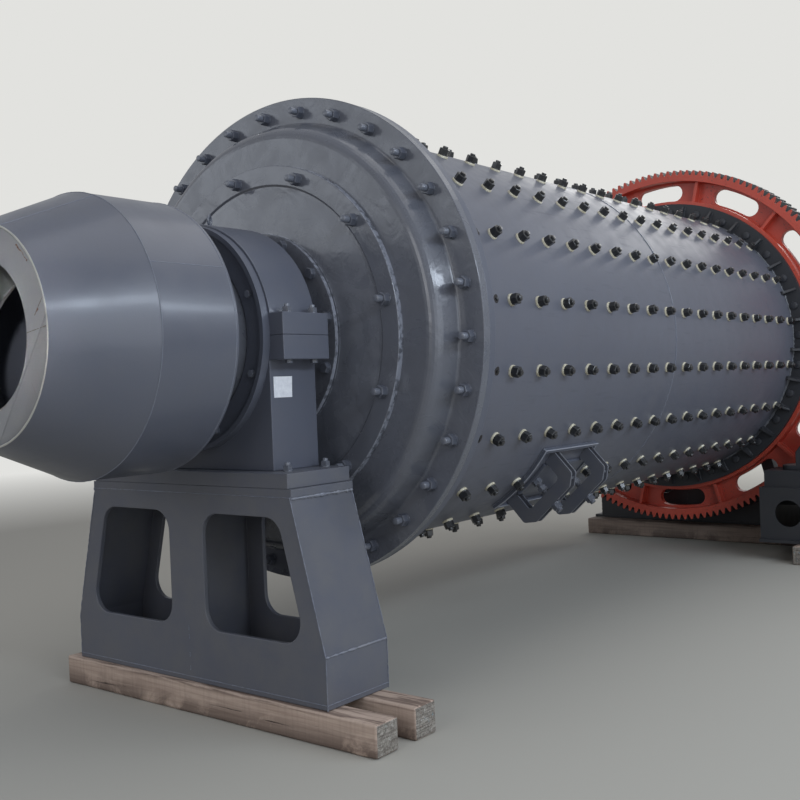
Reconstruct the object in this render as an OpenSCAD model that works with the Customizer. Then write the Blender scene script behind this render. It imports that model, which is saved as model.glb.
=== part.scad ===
// Ball mill: a bolted drum on two trunnion bearings, with a drum feeder, a girth gear and a drive pinion.
// X runs along the mill from the feed end to the discharge end, Z is up and the floor is at zero.
// Stations along the mill are counted from the middle of the shell, or outwards from an end of it.

/* [Shell] */
// Outside radius of the shell plate
shell_r = 1066; // [1030:1:1080]
// Length of the shell between its two end faces
shell_l = 4524; // [4300:1:5000]
// Thickness of the shell plate
shell_t = 20; // [14:1:30]
// Thickness of the wear plates inside the shell
liner_t = 45; // [35:1:60]
// Height of the lifting bars above the wear plates
lifter_h = 25; // [15:1:40]
// Width of a lifting bar at its foot
lifter_w = 110; // [80:1:140]
// Rows of wear plates around the shell
liner_rows = 20; // [16:1:24]
// Turn of the first lifting bar from the horizontal
liner_turn = 10.75; // [0:0.25:18]
// Reach of the bolting flanges beyond the shell plate
flange_reach = 124; // [100:1:134]
// Thickness of the shell flange at the feed end
feed_flange_t = 45; // [30:1:60]
// Thickness of the shell flange at the gear end
gear_flange_t = 40; // [30:1:60]
// Gussets behind the flange at the gear end
gussets = 30; // [20:1:36]
// Length of a gusset along the shell
gusset_l = 75; // [50:1:110]
// How far a gusset stays inside the rim of the flange
gusset_back = 24; // [15:1:40]
// Thickness of a gusset
gusset_t = 18; // [12:1:25]
// Turn of the first gusset from the horizontal
gusset_turn = 4.6; // [0:0.1:12]

/* [Heads] */
// Thickness of the bolting flange of a head
head_flange_t = 45; // [35:1:60]
// How far the foot of the raised part of a head lies inside the shell radius
head_foot_in = 6; // [0:1:25]
// Height of the raised face above the flange
head_rise = 125; // [100:1:150]
// How far the flank of the raised part leans inwards
head_lean = 40; // [20:1:60]
// Radius of the rounded brow between flank and face
head_round = 62; // [40:1:70]
// Thickness of the head wall
head_t = 60; // [45:1:75]
// Radius of the bore that takes the trunnion
head_bore_r = 700; // [680:1:715]

/* [Trunnions] */
// Outside radius of the trunnion flange
trunnion_flange_r = 844; // [830:1:870]
// Thickness of the trunnion flange
trunnion_flange_t = 28; // [20:1:40]
// Radius where the flange meets the flared neck
flare_r = 752; // [740:1:765]
// Radius at the small end of the flared neck
neck_r = 430; // [415:1:450]
// Rise of the flared neck above the trunnion flange
neck_rise = 30; // [25:1:45]
// Depth that the spigot enters the head
spigot_l = 40; // [25:1:44]
// Radius of the journal
journal_r = 380; // [370:1:395]
// Radius of the passage through a trunnion
passage_r = 290; // [280:1:300]
// Outside radius of the ring bolted to the neck
seal_ring_r = 515; // [490:1:530]
// Thickness of that ring
seal_ring_t = 20; // [14:1:30]
// Outside radius of the lip at the outer end of a trunnion
lip_r = 450; // [430:1:470]
// Thickness of that lip
lip_t = 40; // [30:1:50]

/* [Trunnion bearings] */
// Distance from the feed end of the shell to the middle of its bearing
feed_reach = 515; // [495:1:540]
// Distance from the gear end of the shell to the middle of its bearing
discharge_reach = 491; // [485:1:510]
// Width of a bearing housing along the mill
bearing_w = 280; // [250:1:300]
// Outside radius of a bearing cap
cap_r = 520; // [505:1:530]
// Half width of the lower housing
base_half_w = 500; // [480:1:510]
// Height from the foot of the lower housing to the mill axis
bearing_h = 589; // [560:1:620]
// How far the joint of the housing lies below the mill axis
split_drop = 12; // [0:1:20]
// Thickness of the bearing bush
bush_t = 50; // [40:1:58]
// Running clearance between a journal and its bush
running_gap = 0.3; // [0.2:0.05:0.4]
// Reach of a joint lug beyond the cap
lug_reach = 69; // [55:1:90]
// Height of a lug above the joint
lug_up = 96; // [80:1:110]
// Height of a lug below the joint
lug_down = 105; // [80:1:120]
// Depth of the end cover along the mill
cover_l = 40; // [30:1:50]
// Outside radius of the end cover
cover_r = 510; // [495:1:520]
// Width of the raised rim of the end cover
cover_rim = 20; // [14:1:26]
// Thickness of the end cover's plate
cover_t = 16; // [12:1:22]
// Gap between an end cover and the turning journal
cover_gap = 7; // [6:1:12]

/* [Pedestals] */
// Height of the gear's teeth above the timbers
gear_lift = 61; // [40:1:90]
// Depth of a pedestal along the mill
pedestal_d = 385; // [370:1:420]
// Half width of a pedestal at its foot
pedestal_foot = 832; // [800:1:850]
// Half width of a pedestal under its top plate
pedestal_top = 665; // [660:1:690]
// Height of the upright part of a pedestal's ends
pedestal_knee = 214; // [180:1:240]
// Thickness of the pedestal plates
pedestal_t = 22; // [16:1:28]
// Thickness of the top plate
top_plate_t = 35; // [25:1:45]
// How far the top plate stands out past the ends
top_plate_over = 10; // [0:1:20]
// How far a pedestal's middle lies outside the middle of its bearing
pedestal_offset = 28; // [15:1:35]
// Height of the lower edge of the windows
window_low = 246; // [230:1:280]
// Width of plate left above a window
window_above = 86; // [70:1:120]
// Distance from the middle to the inner edge of a window
window_in = 115; // [90:1:140]
// Width of plate left outside a window
window_side = 100; // [85:1:120]
// Corner radius of the windows
window_round = 95; // [70:1:100]
// Thickness of the sole plate
sole_t = 64; // [50:1:80]
// Half width of the sole plate
sole_half_w = 658; // [620:1:659]
// How far the foot plate of the gear-end pedestal stands out
foot_lip = 73; // [50:1:80]
// Thickness of that foot plate
foot_t = 24; // [18:1:30]

/* [Timbers] */
// Height of the timbers that everything stands on
timber_h = 137; // [120:1:160]
// Width of a timber
timber_w = 140; // [120:1:145]
// Reach of the pedestal timbers on the drive side
timber_near = 1100; // [1060:1:1110]
// Reach of the pedestal timbers on the far side
timber_far = 922; // [900:1:960]
// Distance between the middles of two pedestal timbers
timber_pitch = 245; // [200:1:260]
// How far a pair of timbers lies off its pedestal's middle, towards the feed end
timber_shift = 25; // [0:1:40]
// Length of the timbers under the pinion base
drive_timber_l = 1480; // [1440:1:1600]
// Distance between the middles of those two timbers
drive_timber_pitch = 490; // [450:1:540]
// Gap between the ends of the discharge timbers and the drive timber beside them
timber_gap = 85; // [40:1:150]
// Radius worn on the timber edges
timber_round = 8; // [4:1:12]

/* [Girth gear] */
// Depth of the girth gear from the flanges out to its pitch circle
gear_depth = 268; // [264:1:272]
// Teeth of the girth gear
gear_teeth = 162; // [160:1:164]
// Teeth of the pinion
pinion_teeth = 23; // [21:1:25]
// Pressure angle of the teeth
pressure_angle = 20; // [18:1:22]
// Play between the teeth at the pitch circle
tooth_play = 1.6; // [1.2:0.1:1.9]
// Width of the toothed rim
gear_w = 250; // [220:1:260]
// Thickness of the rim under the teeth
rim_t = 50.5; // [44:0.5:56]
// Thickness of the gear web
web_t = 58; // [45:1:70]
// Thickness of the hub wall around the head flange
hub_t = 27.7; // [22:0.1:32]
// Thickness of the gear's bolting lip
mount_lip_t = 45; // [35:1:55]
// Slots and ribs around the gear
gear_slots = 12; // [8:1:14]
// Turn of the first slot from the horizontal
slot_turn = 27.7; // [0:0.1:30]
// Width of web left between the hub and a slot
slot_edge_in = 14; // [10:1:22]
// Width of web left between a slot and the rim
slot_edge_out = 19; // [13:1:30]
// Angle that a slot spans between its ends
slot_span = 17.5; // [14:0.5:19]
// Thickness of a gear rib
rib_t = 26; // [20:1:32]
// How far the ribs stay back from the gear faces
rib_back = 22; // [10:1:40]

/* [Pinion drive] */
// How far the pinion axis lies below the mill axis
pinion_drop = 723; // [700:1:740]
// Width of the pinion
pinion_w = 270; // [260:1:290]
// Radius of the shaft under the pinion
shaft_r = 110; // [104:1:120]
// Radius of the shaft in its bearings
shaft_journal_r = 100; // [90:1:102]
// Radius of the shaft end that takes the coupling
shaft_end_r = 85; // [75:1:88]
// Length of that shaft end
shaft_end_l = 210; // [180:1:240]
// Distance from the gear's middle to the middle of each pinion bearing
pinion_bearing_reach = 400; // [390:1:430]
// Width of a pinion bearing housing along the shaft
pillow_w = 200; // [180:1:220]
// Radius of the round body of a pinion bearing housing
pillow_r = 245; // [225:1:255]
// Half width of its foot
pillow_foot = 460; // [430:1:490]
// Thickness of its foot
pillow_foot_t = 36; // [28:1:45]
// Corner radius of its foot
pillow_foot_round = 70; // [40:1:80]
// Half width of the block above the foot
pillow_body = 345; // [310:1:360]
// Height of that block above the foot
pillow_body_h = 100; // [80:1:120]
// Height of the pinion axis above the seat blocks
pillow_h = 277; // [270:1:300]
// Width of a seat block along the shaft
seat_w = 340; // [320:1:350]
// Height of a seat block
seat_h = 126; // [110:1:140]
// How far a seat block stays inside the base
seat_inset = 30; // [20:1:45]
// Gap between the pinion base and the foot plate of the pedestal beside it
drive_gap = 5; // [3:1:15]
// Width of the seats of the pinion base along the mill
drive_seat_l = 400; // [390:1:410]
// Drop of the middle of the pinion base under the gear
drive_dip = 150; // [110:1:180]
// Plate thickness of the pinion base
drive_t = 20; // [16:1:26]
// Radius of the hand holes in the end plates
hand_hole_r = 100; // [80:1:110]
// Distance of the hand holes in from the near side
hand_hole_in = 210; // [190:1:230]
// How far the hand holes lie above the middle of the base
hand_hole_up = 13; // [0:1:30]
// Thickness of the flange around the foot of the base
drive_foot_t = 22; // [16:1:28]
// How far that flange stands out at the ends
drive_foot_lip = 35; // [25:1:45]

/* [Drum feeder] */
// Distance from the feed end of the shell to the back of the feeder
feeder_reach = 900; // [880:1:930]
// Outside radius of the feeder drum
feeder_r = 585; // [560:1:610]
// Length of the straight drum
feeder_l = 380; // [340:1:420]
// Length of the cone
cone_l = 375; // [340:1:400]
// Outside radius of the mouth
mouth_r = 429; // [420:1:440]
// Plate thickness of the feeder
feeder_t = 12; // [8:1:16]
// Distance from the axis to the straight edge of the scoop
scoop_edge = 297; // [294:1:310]
// Turn of the scoop from the horizontal
scoop_turn = 216.7; // [180:0.1:260]
// Slope of the scoop plate into the mouth
scoop_slope = 24; // [15:1:35]
// Turns of the spiral inside the feeder
spiral_turns = 1.25; // [0.75:0.05:1.75]
// Thickness of the spiral
spiral_t = 14; // [10:1:18]
// Gap left for the weld beside the spiral
weld_gap = 2; // [1:0.5:4]

/* [Manhole] */
// Station of the manhole's middle
manhole_x = -1036; // [-1100:1:-950]
// Angle of the manhole below the horizontal on the drive side
manhole_dip = 47; // [42:1:52]
// Length of the frame along the shell
manhole_l = 582; // [580:1:640]
// Width of the frame around the shell
manhole_w = 465; // [462:1:490]
// Width of the frame bars
manhole_bar = 20; // [16:1:26]
// Height of the frame bars
manhole_bar_h = 24; // [16:1:30]
// Length of the door along the shell
door_l = 450; // [430:1:455]
// Width of the door around the shell
door_w = 236; // [220:1:250]
// Thickness of the door
door_t = 16; // [12:1:20]
// Width of the door's landing on the shell
door_land = 25; // [20:1:35]
// How far the door and its bridges lie off the frame's middle, towards the gear
door_shift = 42; // [0:1:42]
// Distance between the two bridges
bridge_pitch = 372; // [330:1:380]
// Half span of a bridge over its feet
bridge_half = 207; // [200:1:212]
// Half span of the opening under a bridge
bridge_open = 130; // [126:1:140]
// Height of a bridge above the shell
bridge_h = 184; // [170:1:200]
// Depth of the bar of a bridge
bridge_bar = 72; // [60:1:80]
// Depth of the slanted corners of a bridge
bridge_slant = 45; // [35:1:55]
// Width of those corners along the bridge
bridge_slant_w = 62; // [50:1:75]
// Width of a bridge along the shell
bridge_w = 58; // [50:1:70]
// Thickness of a bridge plate
bridge_t = 12; // [10:1:14]
// How far the plates between the two sides stay back from the bridge's edge
rung_back = 6; // [2:1:10]
// Width of the plate that the stud passes through
stud_seat = 64; // [50:1:80]
// Radius of the stud that pulls the door up
stud_r = 16; // [12:1:20]
// Length of stud above the bridge
stud_over = 45; // [35:1:60]

/* [Hidden] */
$fn = 96;

// Paints and finishes
MILL_GREY = [0.30, 0.33, 0.39];
CHARCOAL = [0.12, 0.12, 0.14];
PRIMER = [0.55, 0.56, 0.56];
GEAR_RED = [0.72, 0.16, 0.08];
TIMBER = [0.42, 0.31, 0.26];
STEEL = [0.62, 0.62, 0.62];
BRONZE = [0.62, 0.48, 0.28];

// Clearance of a part set into another one that turns with it
SEAT_GAP = 0.3;
// Overshoot of a cutting shape past the face that it opens
CUT = 5;
// How far joined plates run into each other
BITE = 4;
// Rounding of a turned edge, and of the foot of a turned shoulder
EDGE = 4;
FILLET = 14;

// Flanges and heads
flange_r = shell_r + flange_reach;
head_foot_r = shell_r - head_foot_in;

// Gear pair
gear_pitch_r = flange_r + gear_depth;
tooth_module = 2 * gear_pitch_r / gear_teeth;
pinion_pitch_r = tooth_module * pinion_teeth / 2;
gear_tip_r = gear_pitch_r + tooth_module;
centre_distance = gear_pitch_r + pinion_pitch_r;
pinion_y = -sqrt(centre_distance * centre_distance - pinion_drop * pinion_drop);
mesh_angle = atan2(-pinion_drop, pinion_y);
gear_x = shell_l / 2 + gear_w / 2;
rim_in = gear_pitch_r - 1.25 * tooth_module - rim_t;
hub_r = flange_r + SEAT_GAP + hub_t;

// Heights: the gear sets how high the mill lies
axis_z = timber_h + gear_lift + gear_tip_r;
sole_z = axis_z - bearing_h - sole_t;
pedestal_h = sole_z - timber_h;
window_high = pedestal_h - top_plate_t - window_above;
pinion_z = axis_z - pinion_drop;
seat_z = pinion_z - pillow_h;
drive_h = seat_z - seat_h - timber_h;

// Heads and trunnions, as distances outwards from the face that a head is bolted to
head_face = head_flange_t + head_rise;
neck_s = head_face + trunnion_flange_t + neck_rise;
neck_inner = head_face + trunnion_flange_t;
discharge_shift = mount_lip_t;
// Room between an end cover and the lip of the trunnion
lip_clear = 60;
// Depth of the groove between trunnion flange and flare
flare_groove = 8;
// Wall of the spigot, and how far past the head's face the hollow has narrowed to the passage
spigot_wall = 60;
hollow_reach = 20;
discharge_end = discharge_reach + bearing_w / 2 + cover_l + lip_clear + lip_t;
bush_r = journal_r + running_gap + bush_t;

// Pinion drive
drive_l = 2 * pinion_bearing_reach + drive_seat_l;
drive_near = pedestal_foot + foot_lip + drive_gap;
drive_half_w = -pinion_y - drive_near;
shoulder_gap = 6;
tail_over = 40;
discharge_timber_near = -pinion_y - (drive_timber_pitch + timber_w) / 2 - timber_gap;
shaft_shoulder = pinion_bearing_reach - pillow_w / 2 - shoulder_gap;
shaft_tail = pinion_bearing_reach + pillow_w / 2 + tail_over;

// Feeder, as distances outwards from the feed end of the shell
cone_s = feeder_reach + feeder_l;
mouth_s = cone_s + cone_l;

// Outline of the whole mill on the floor, whose middle is the origin
low_x = -shell_l / 2 - mouth_s;
high_x = max(shell_l / 2 + discharge_end, gear_x + shaft_tail + shaft_end_l,
    gear_x + max(drive_l / 2 + drive_foot_lip, drive_timber_l / 2));
low_y = pinion_y - drive_half_w;
high_y = max(gear_tip_r, timber_far);
middle_x = (low_x + high_x) / 2;
middle_y = (low_y + high_y) / 2;

// Frame of everything that stands on the floor
module on_floor(x = 0) {
    translate([x - middle_x, -middle_y, 0]) children();
}

// Frame of the turning parts: Z runs along the mill, X is level and Y is up
module on_axis(x = 0) {
    translate([x - middle_x, -middle_y, axis_z]) rotate([90, 0, 90]) children();
}

// Frame at the feed end of the shell, with Z outwards
module at_feed(s = 0) {
    on_axis(-shell_l / 2) mirror([0, 0, 1]) translate([0, 0, s]) children();
}

// Frame at the gear end of the shell, with Z outwards
module at_gear_end(s = 0) {
    on_axis(shell_l / 2) translate([0, 0, s]) children();
}

// Frame of the pinion, with Z along its shaft from the middle of the gear
module on_pinion(s = 0) {
    on_axis(gear_x + s) translate([pinion_y, -pinion_drop, 0]) children();
}

// Ring or disc with its axis along Z
module ring(r_out, r_in, l) {
    difference() {
        cylinder(h = l, r = r_out);
        translate([0, 0, -CUT]) cylinder(h = l + 2 * CUT, r = r_in);
    }
}

// Prism along X with its outline given as level and height
module prism_x(x, l, outline) {
    translate([x, 0, 0]) rotate([90, 0, 90]) linear_extrude(l) polygon(outline);
}

// Outline helpers
function unit(v) = v / norm(v);
function polar(r, a) = [r * cos(a), r * sin(a)];
function arc(r, a0, a1, n) = [for (k = [0 : n]) polar(r, a0 + (a1 - a0) * k / n)];
function corner_arc(a, b, c, r, n) = let (
        u = unit(a - b),
        v = unit(c - b),
        half = acos(u * v) / 2,
        centre = b + unit(u + v) * r / sin(half),
        p = b + u * r / tan(half) - centre,
        q = b + v * r / tan(half) - centre,
        w = 180 - 2 * half
    ) [for (k = [0 : n]) centre + (p * sin(w * (1 - k / n)) + q * sin(w * k / n)) / sin(w)];
function corner(p, r, i, n) = let (
        m = len(p)
    ) r[i] > 0 ? corner_arc(p[(i + m - 1) % m], p[i], p[(i + 1) % m], r[i], n) : [p[i]];
function rounded(p, r, n = 6) = [for (i = [0 : len(p) - 1]) each corner(p, r, i, n)];
function block_outline(w, h, r) = rounded(
    [[0, 0], [w, 0], [w, h], [0, h]], [r, r, r, r], 3);

// Involute teeth: half the angle of a tooth at a radius, and the outline of a whole gear
function involute(r, base_r) = sqrt(max(0, r * r / base_r / base_r - 1)) * 180 / PI
    - acos(min(1, base_r / r));
function half_tooth(r, teeth) = let (
        pitch_r = tooth_module * teeth / 2,
        base_r = pitch_r * cos(pressure_angle)
    ) 90 / teeth - tooth_play / 4 / pitch_r * 180 / PI
        + involute(pitch_r, base_r) - involute(max(r, base_r), base_r);
function gear_outline(teeth, levels) = let (
        root_r = tooth_module * (teeth / 2 - 1.25),
        tip_r = tooth_module * (teeth / 2 + 1),
        radii = [for (k = [0 : levels]) root_r + (tip_r - root_r) * k / levels]
    ) [for (i = [0 : teeth - 1]) each concat(
        [for (k = [0 : levels]) polar(radii[k], 360 * i / teeth - half_tooth(radii[k], teeth))],
        [for (k = [levels : -1 : 0]) polar(radii[k], 360 * i / teeth + half_tooth(radii[k], teeth))])];

// Shell

module shell() {
    hole_l = door_l - 2 * door_land;
    hole_w = door_w - 2 * door_land;
    color(MILL_GREY) difference() {
        at_feed(-shell_l) ring(shell_r, shell_r - shell_t, shell_l);
        at_manhole(door_shift) translate([shell_r - 2 * shell_t, -hole_w / 2, -hole_l / 2])
            cube([3 * shell_t, hole_w, hole_l]);
    }
}

function liner_outline() = let (
        r = shell_r - shell_t - SEAT_GAP - liner_t,
        foot = lifter_w / 2 / r * 180 / PI,
        step = 360 / liner_rows
    ) [for (i = [0 : liner_rows - 1]) each concat(
        [polar(r, i * step - foot), polar(r - lifter_h, i * step - foot / 2)],
        [polar(r - lifter_h, i * step + foot / 2), polar(r, i * step + foot)],
        [polar(r, (i + 0.5) * step)])];

module shell_liner() {
    color(STEEL) at_feed(-shell_l) linear_extrude(shell_l) difference() {
        circle(r = shell_r - shell_t - SEAT_GAP);
        rotate(liner_turn) polygon(liner_outline());
    }
}

module feed_shell_flange() {
    color(MILL_GREY) at_feed(-feed_flange_t) ring(flange_r, shell_r + SEAT_GAP, feed_flange_t);
}

module gear_shell_flange() {
    foot = shell_r + SEAT_GAP;
    top = flange_r - gusset_back;
    color(CHARCOAL) at_gear_end(-gear_flange_t) {
        ring(flange_r, foot, gear_flange_t);
        for (i = [0 : gussets - 1]) rotate([0, 0, gusset_turn + i * 360 / gussets])
            translate([0, gusset_t / 2, 0]) rotate([90, 0, 0]) linear_extrude(gusset_t)
                polygon([[foot, 0], [top, 0], [top, -gusset_t], [foot + gusset_t, -gusset_l],
                    [foot, -gusset_l]]);
    }
}

// Heads and trunnions

module head() {
    brow_r = head_foot_r - head_lean;
    rotate_extrude() polygon(rounded(
        [[flange_r, 0], [flange_r, head_flange_t], [head_foot_r, head_flange_t],
            [brow_r, head_face], [head_bore_r, head_face], [head_bore_r, head_face - head_t],
            [brow_r - head_t, head_face - head_t], [head_foot_r - head_t, 0]],
        [0, EDGE, FILLET, head_round, 0, 0, head_round / 2, 0]));
}

module trunnion(end_s) {
    spigot_r = head_bore_r - SEAT_GAP;
    rotate_extrude() polygon(rounded(
        [[trunnion_flange_r, head_face], [trunnion_flange_r, neck_inner], [flare_r, neck_inner],
            [flare_r - flare_groove, neck_inner - flare_groove], [neck_r, neck_s],
            [journal_r, neck_s], [journal_r, end_s - lip_t], [lip_r, end_s - lip_t],
            [lip_r, end_s], [passage_r, end_s], [passage_r, head_face + hollow_reach],
            [spigot_r - spigot_wall, head_face - spigot_l], [spigot_r, head_face - spigot_l],
            [spigot_r, head_face]],
        [0, EDGE, EDGE, EDGE, FILLET, 0, FILLET, EDGE, EDGE, 0, 0, FILLET, 0, 0], 4));
}

module feed_head() {
    color(MILL_GREY) at_feed() head();
}

module discharge_head() {
    color(CHARCOAL) at_gear_end(discharge_shift) head();
}

module feed_trunnion() {
    color(MILL_GREY) at_feed() trunnion(feeder_reach);
}

module discharge_trunnion() {
    color(CHARCOAL) at_gear_end(discharge_shift) trunnion(discharge_end - discharge_shift);
}

module feed_seal_ring() {
    color(MILL_GREY) at_feed(neck_s) ring(seal_ring_r, journal_r + SEAT_GAP, seal_ring_t);
}

module discharge_seal_ring() {
    color(CHARCOAL) at_gear_end(discharge_shift + neck_s)
        ring(seal_ring_r, journal_r + SEAT_GAP, seal_ring_t);
}

// Trunnion bearings. Each is drawn in the frame of the axis, with Z from its inner to its outer face

module bearing_cap() {
    lug_bite = cap_r - sqrt(cap_r * cap_r - lug_up * lug_up) + BITE;
    difference() {
        union() {
            cylinder(h = bearing_w, r = cap_r);
            for (side = [-1, 1])
                translate([side * (cap_r + lug_reach) - (side > 0 ? lug_reach + lug_bite : 0),
                    -split_drop, 0])
                    cube([lug_reach + lug_bite, lug_up, bearing_w]);
        }
        translate([0, 0, -CUT]) cylinder(h = bearing_w + 2 * CUT, r = bush_r + SEAT_GAP);
        translate([-2 * cap_r, -2 * cap_r - split_drop, -CUT])
            cube([4 * cap_r, 2 * cap_r, bearing_w + 2 * CUT]);
    }
}

module bearing_base() {
    lug_x = cap_r + lug_reach;
    difference() {
        translate([-base_half_w, -bearing_h, 0])
            cube([2 * base_half_w, bearing_h - split_drop, bearing_w]);
        translate([0, 0, -CUT]) cylinder(h = bearing_w + 2 * CUT, r = bush_r + SEAT_GAP);
    }
    for (side = [-1, 1])
        translate([side * lug_x - (side > 0 ? lug_x - base_half_w : 0), -split_drop - lug_down, 0])
            cube([lug_x - base_half_w, lug_down, bearing_w]);
}

module end_cover() {
    rotate_extrude() polygon(
        [[journal_r + cover_gap, 0], [cover_r, 0], [cover_r, cover_l], [cover_r - cover_rim, cover_l],
            [cover_r - cover_rim, cover_t], [journal_r + cover_gap, cover_t]]);
}

module bush() {
    ring(bush_r, journal_r + running_gap, bearing_w);
}

module feed_bearing_base() {
    color(MILL_GREY) at_feed(feed_reach - bearing_w / 2) bearing_base();
}

module feed_bearing_cap() {
    color(MILL_GREY) at_feed(feed_reach - bearing_w / 2) bearing_cap();
}

module feed_bearing_bush() {
    color(BRONZE) at_feed(feed_reach - bearing_w / 2) bush();
}

module feed_end_cover() {
    color(MILL_GREY) at_feed(feed_reach + bearing_w / 2) end_cover();
}

module discharge_bearing_base() {
    color(CHARCOAL) at_gear_end(discharge_reach - bearing_w / 2) bearing_base();
}

module discharge_bearing_cap() {
    color(CHARCOAL) at_gear_end(discharge_reach - bearing_w / 2) bearing_cap();
}

module discharge_bearing_bush() {
    color(BRONZE) at_gear_end(discharge_reach - bearing_w / 2) bush();
}

module discharge_end_cover() {
    color(CHARCOAL) at_gear_end(discharge_reach + bearing_w / 2) end_cover();
}

// Pedestals

feed_pedestal_x = -shell_l / 2 - feed_reach - pedestal_offset;
discharge_pedestal_x = shell_l / 2 + discharge_reach + pedestal_offset;

// Half width of a pedestal at a height above its foot
function pedestal_half(h) = h < pedestal_knee ? pedestal_foot
    : pedestal_foot - (pedestal_foot - pedestal_top) * (h - pedestal_knee)
        / (pedestal_h - top_plate_t - pedestal_knee);

function pedestal_outline(inset, low, high) = [
    [-pedestal_foot + inset, low], [pedestal_foot - inset, low],
    [pedestal_foot - inset, pedestal_knee], [pedestal_half(high) - inset, high],
    [-pedestal_half(high) + inset, high], [-pedestal_foot + inset, pedestal_knee]];

function window_outline() = rounded(
    [[window_in, window_low], [pedestal_half(window_low) - window_side, window_low],
        [pedestal_half(window_high) - window_side, window_high], [window_in, window_high]],
    [window_round, window_round, window_round, window_round], 8);

module pedestal(x) {
    body_h = pedestal_h - top_plate_t;
    on_floor(x) translate([0, 0, timber_h]) {
        difference() {
            prism_x(-pedestal_d / 2, pedestal_d, pedestal_outline(0, 0, body_h + BITE));
            difference() {
                prism_x(-pedestal_d / 2 + pedestal_t, pedestal_d - 2 * pedestal_t,
                    pedestal_outline(pedestal_t, pedestal_t, body_h - pedestal_t));
                translate([-pedestal_d, -pedestal_t / 2, 0]) cube([2 * pedestal_d, pedestal_t, body_h]);
            }
            for (side = [0, 1]) mirror([0, side, 0])
                prism_x(-pedestal_d, 2 * pedestal_d, window_outline());
        }
        translate([-pedestal_d / 2, -pedestal_top - top_plate_over, body_h])
            cube([pedestal_d, 2 * (pedestal_top + top_plate_over), top_plate_t]);
    }
}

module feed_pedestal() {
    color(MILL_GREY) pedestal(feed_pedestal_x);
}

module discharge_pedestal() {
    color(CHARCOAL) {
        pedestal(discharge_pedestal_x);
        on_floor(discharge_pedestal_x) translate([-pedestal_d / 2, -pedestal_foot - foot_lip, timber_h])
            cube([pedestal_d, 2 * (pedestal_foot + foot_lip), foot_t]);
    }
}

module sole_plate(x) {
    on_floor(x) translate([-pedestal_d / 2, -sole_half_w, sole_z])
        cube([pedestal_d, 2 * sole_half_w, sole_t]);
}

module feed_sole_plate() {
    color(MILL_GREY) sole_plate(feed_pedestal_x);
}

module discharge_sole_plate() {
    color(CHARCOAL) sole_plate(discharge_pedestal_x);
}

// Timbers

module cross_timber(x, near) {
    color(TIMBER) on_floor(x) translate([-timber_w / 2, -near, 0]) rotate([90, 0, 0])
        mirror([0, 0, 1]) linear_extrude(near + timber_far)
            polygon(block_outline(timber_w, timber_h, timber_round));
}

module long_timber(y) {
    color(TIMBER) on_floor(gear_x - drive_timber_l / 2) translate([0, y - timber_w / 2, 0])
        rotate([90, 0, 90]) linear_extrude(drive_timber_l)
            polygon(block_outline(timber_w, timber_h, timber_round));
}

module feed_front_timber() {
    cross_timber(feed_pedestal_x - timber_shift - timber_pitch / 2, timber_near);
}

module feed_rear_timber() {
    cross_timber(feed_pedestal_x - timber_shift + timber_pitch / 2, timber_near);
}

module discharge_front_timber() {
    cross_timber(discharge_pedestal_x - timber_pitch, discharge_timber_near);
}

module discharge_rear_timber() {
    cross_timber(discharge_pedestal_x - timber_shift + timber_pitch / 2, discharge_timber_near);
}

module drive_near_timber() {
    long_timber(pinion_y + drive_timber_pitch / 2);
}

module drive_far_timber() {
    long_timber(pinion_y - drive_timber_pitch / 2);
}

// Girth gear and pinion

function kidney(r0, r1, span) = let (
        r = (r0 + r1) / 2,
        e = (r1 - r0) / 2,
        a = span / 2 - e / r * 180 / PI
    ) concat(arc(r1, -a, a, 8),
        [for (k = [1 : 7]) polar(r, a) + polar(e, a + 180 * k / 8)],
        arc(r0, a, -a, 8),
        [for (k = [1 : 7]) polar(r, -a) + polar(e, 180 - a + 180 * k / 8)]);

module gear_web() {
    difference() {
        ring(rim_in + BITE, hub_r - hub_t / 2, web_t);
        for (i = [0 : gear_slots - 1]) rotate([0, 0, slot_turn + i * 360 / gear_slots])
            translate([0, 0, -CUT]) linear_extrude(web_t + 2 * CUT)
                polygon(kidney(hub_r + slot_edge_in, rim_in - slot_edge_out, slot_span));
    }
}

module gear_ribs() {
    for (i = [0 : gear_slots - 1]) rotate([0, 0, slot_turn + (i + 0.5) * 360 / gear_slots])
        translate([hub_r - BITE, -rib_t / 2, rib_back])
            cube([rim_in - hub_r + 2 * BITE, rib_t, gear_w - 2 * rib_back]);
}

module girth_gear() {
    color(GEAR_RED) at_gear_end() {
        difference() {
            linear_extrude(gear_w) rotate(mesh_angle) polygon(gear_outline(gear_teeth, 3));
            translate([0, 0, -CUT]) cylinder(h = gear_w + 2 * CUT, r = rim_in);
        }
        translate([0, 0, (gear_w - web_t) / 2]) gear_web();
        gear_ribs();
        ring(hub_r, flange_r + SEAT_GAP, (gear_w + web_t) / 2);
        ring(hub_r, shell_r, mount_lip_t);
    }
}

module pinion_gear() {
    color(STEEL) on_pinion(-pinion_w / 2) difference() {
        linear_extrude(pinion_w) rotate(mesh_angle + 180 + 180 / pinion_teeth)
            polygon(gear_outline(pinion_teeth, 5));
        translate([0, 0, -CUT]) cylinder(h = pinion_w + 2 * CUT, r = shaft_r + SEAT_GAP);
    }
}

module pinion_shaft() {
    color(STEEL) on_pinion() {
        translate([0, 0, -shaft_shoulder]) cylinder(h = 2 * shaft_shoulder, r = shaft_r);
        translate([0, 0, -shaft_tail]) cylinder(h = 2 * shaft_tail, r = shaft_journal_r);
        cylinder(h = shaft_tail + shaft_end_l, r = shaft_end_r);
    }
}

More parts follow.
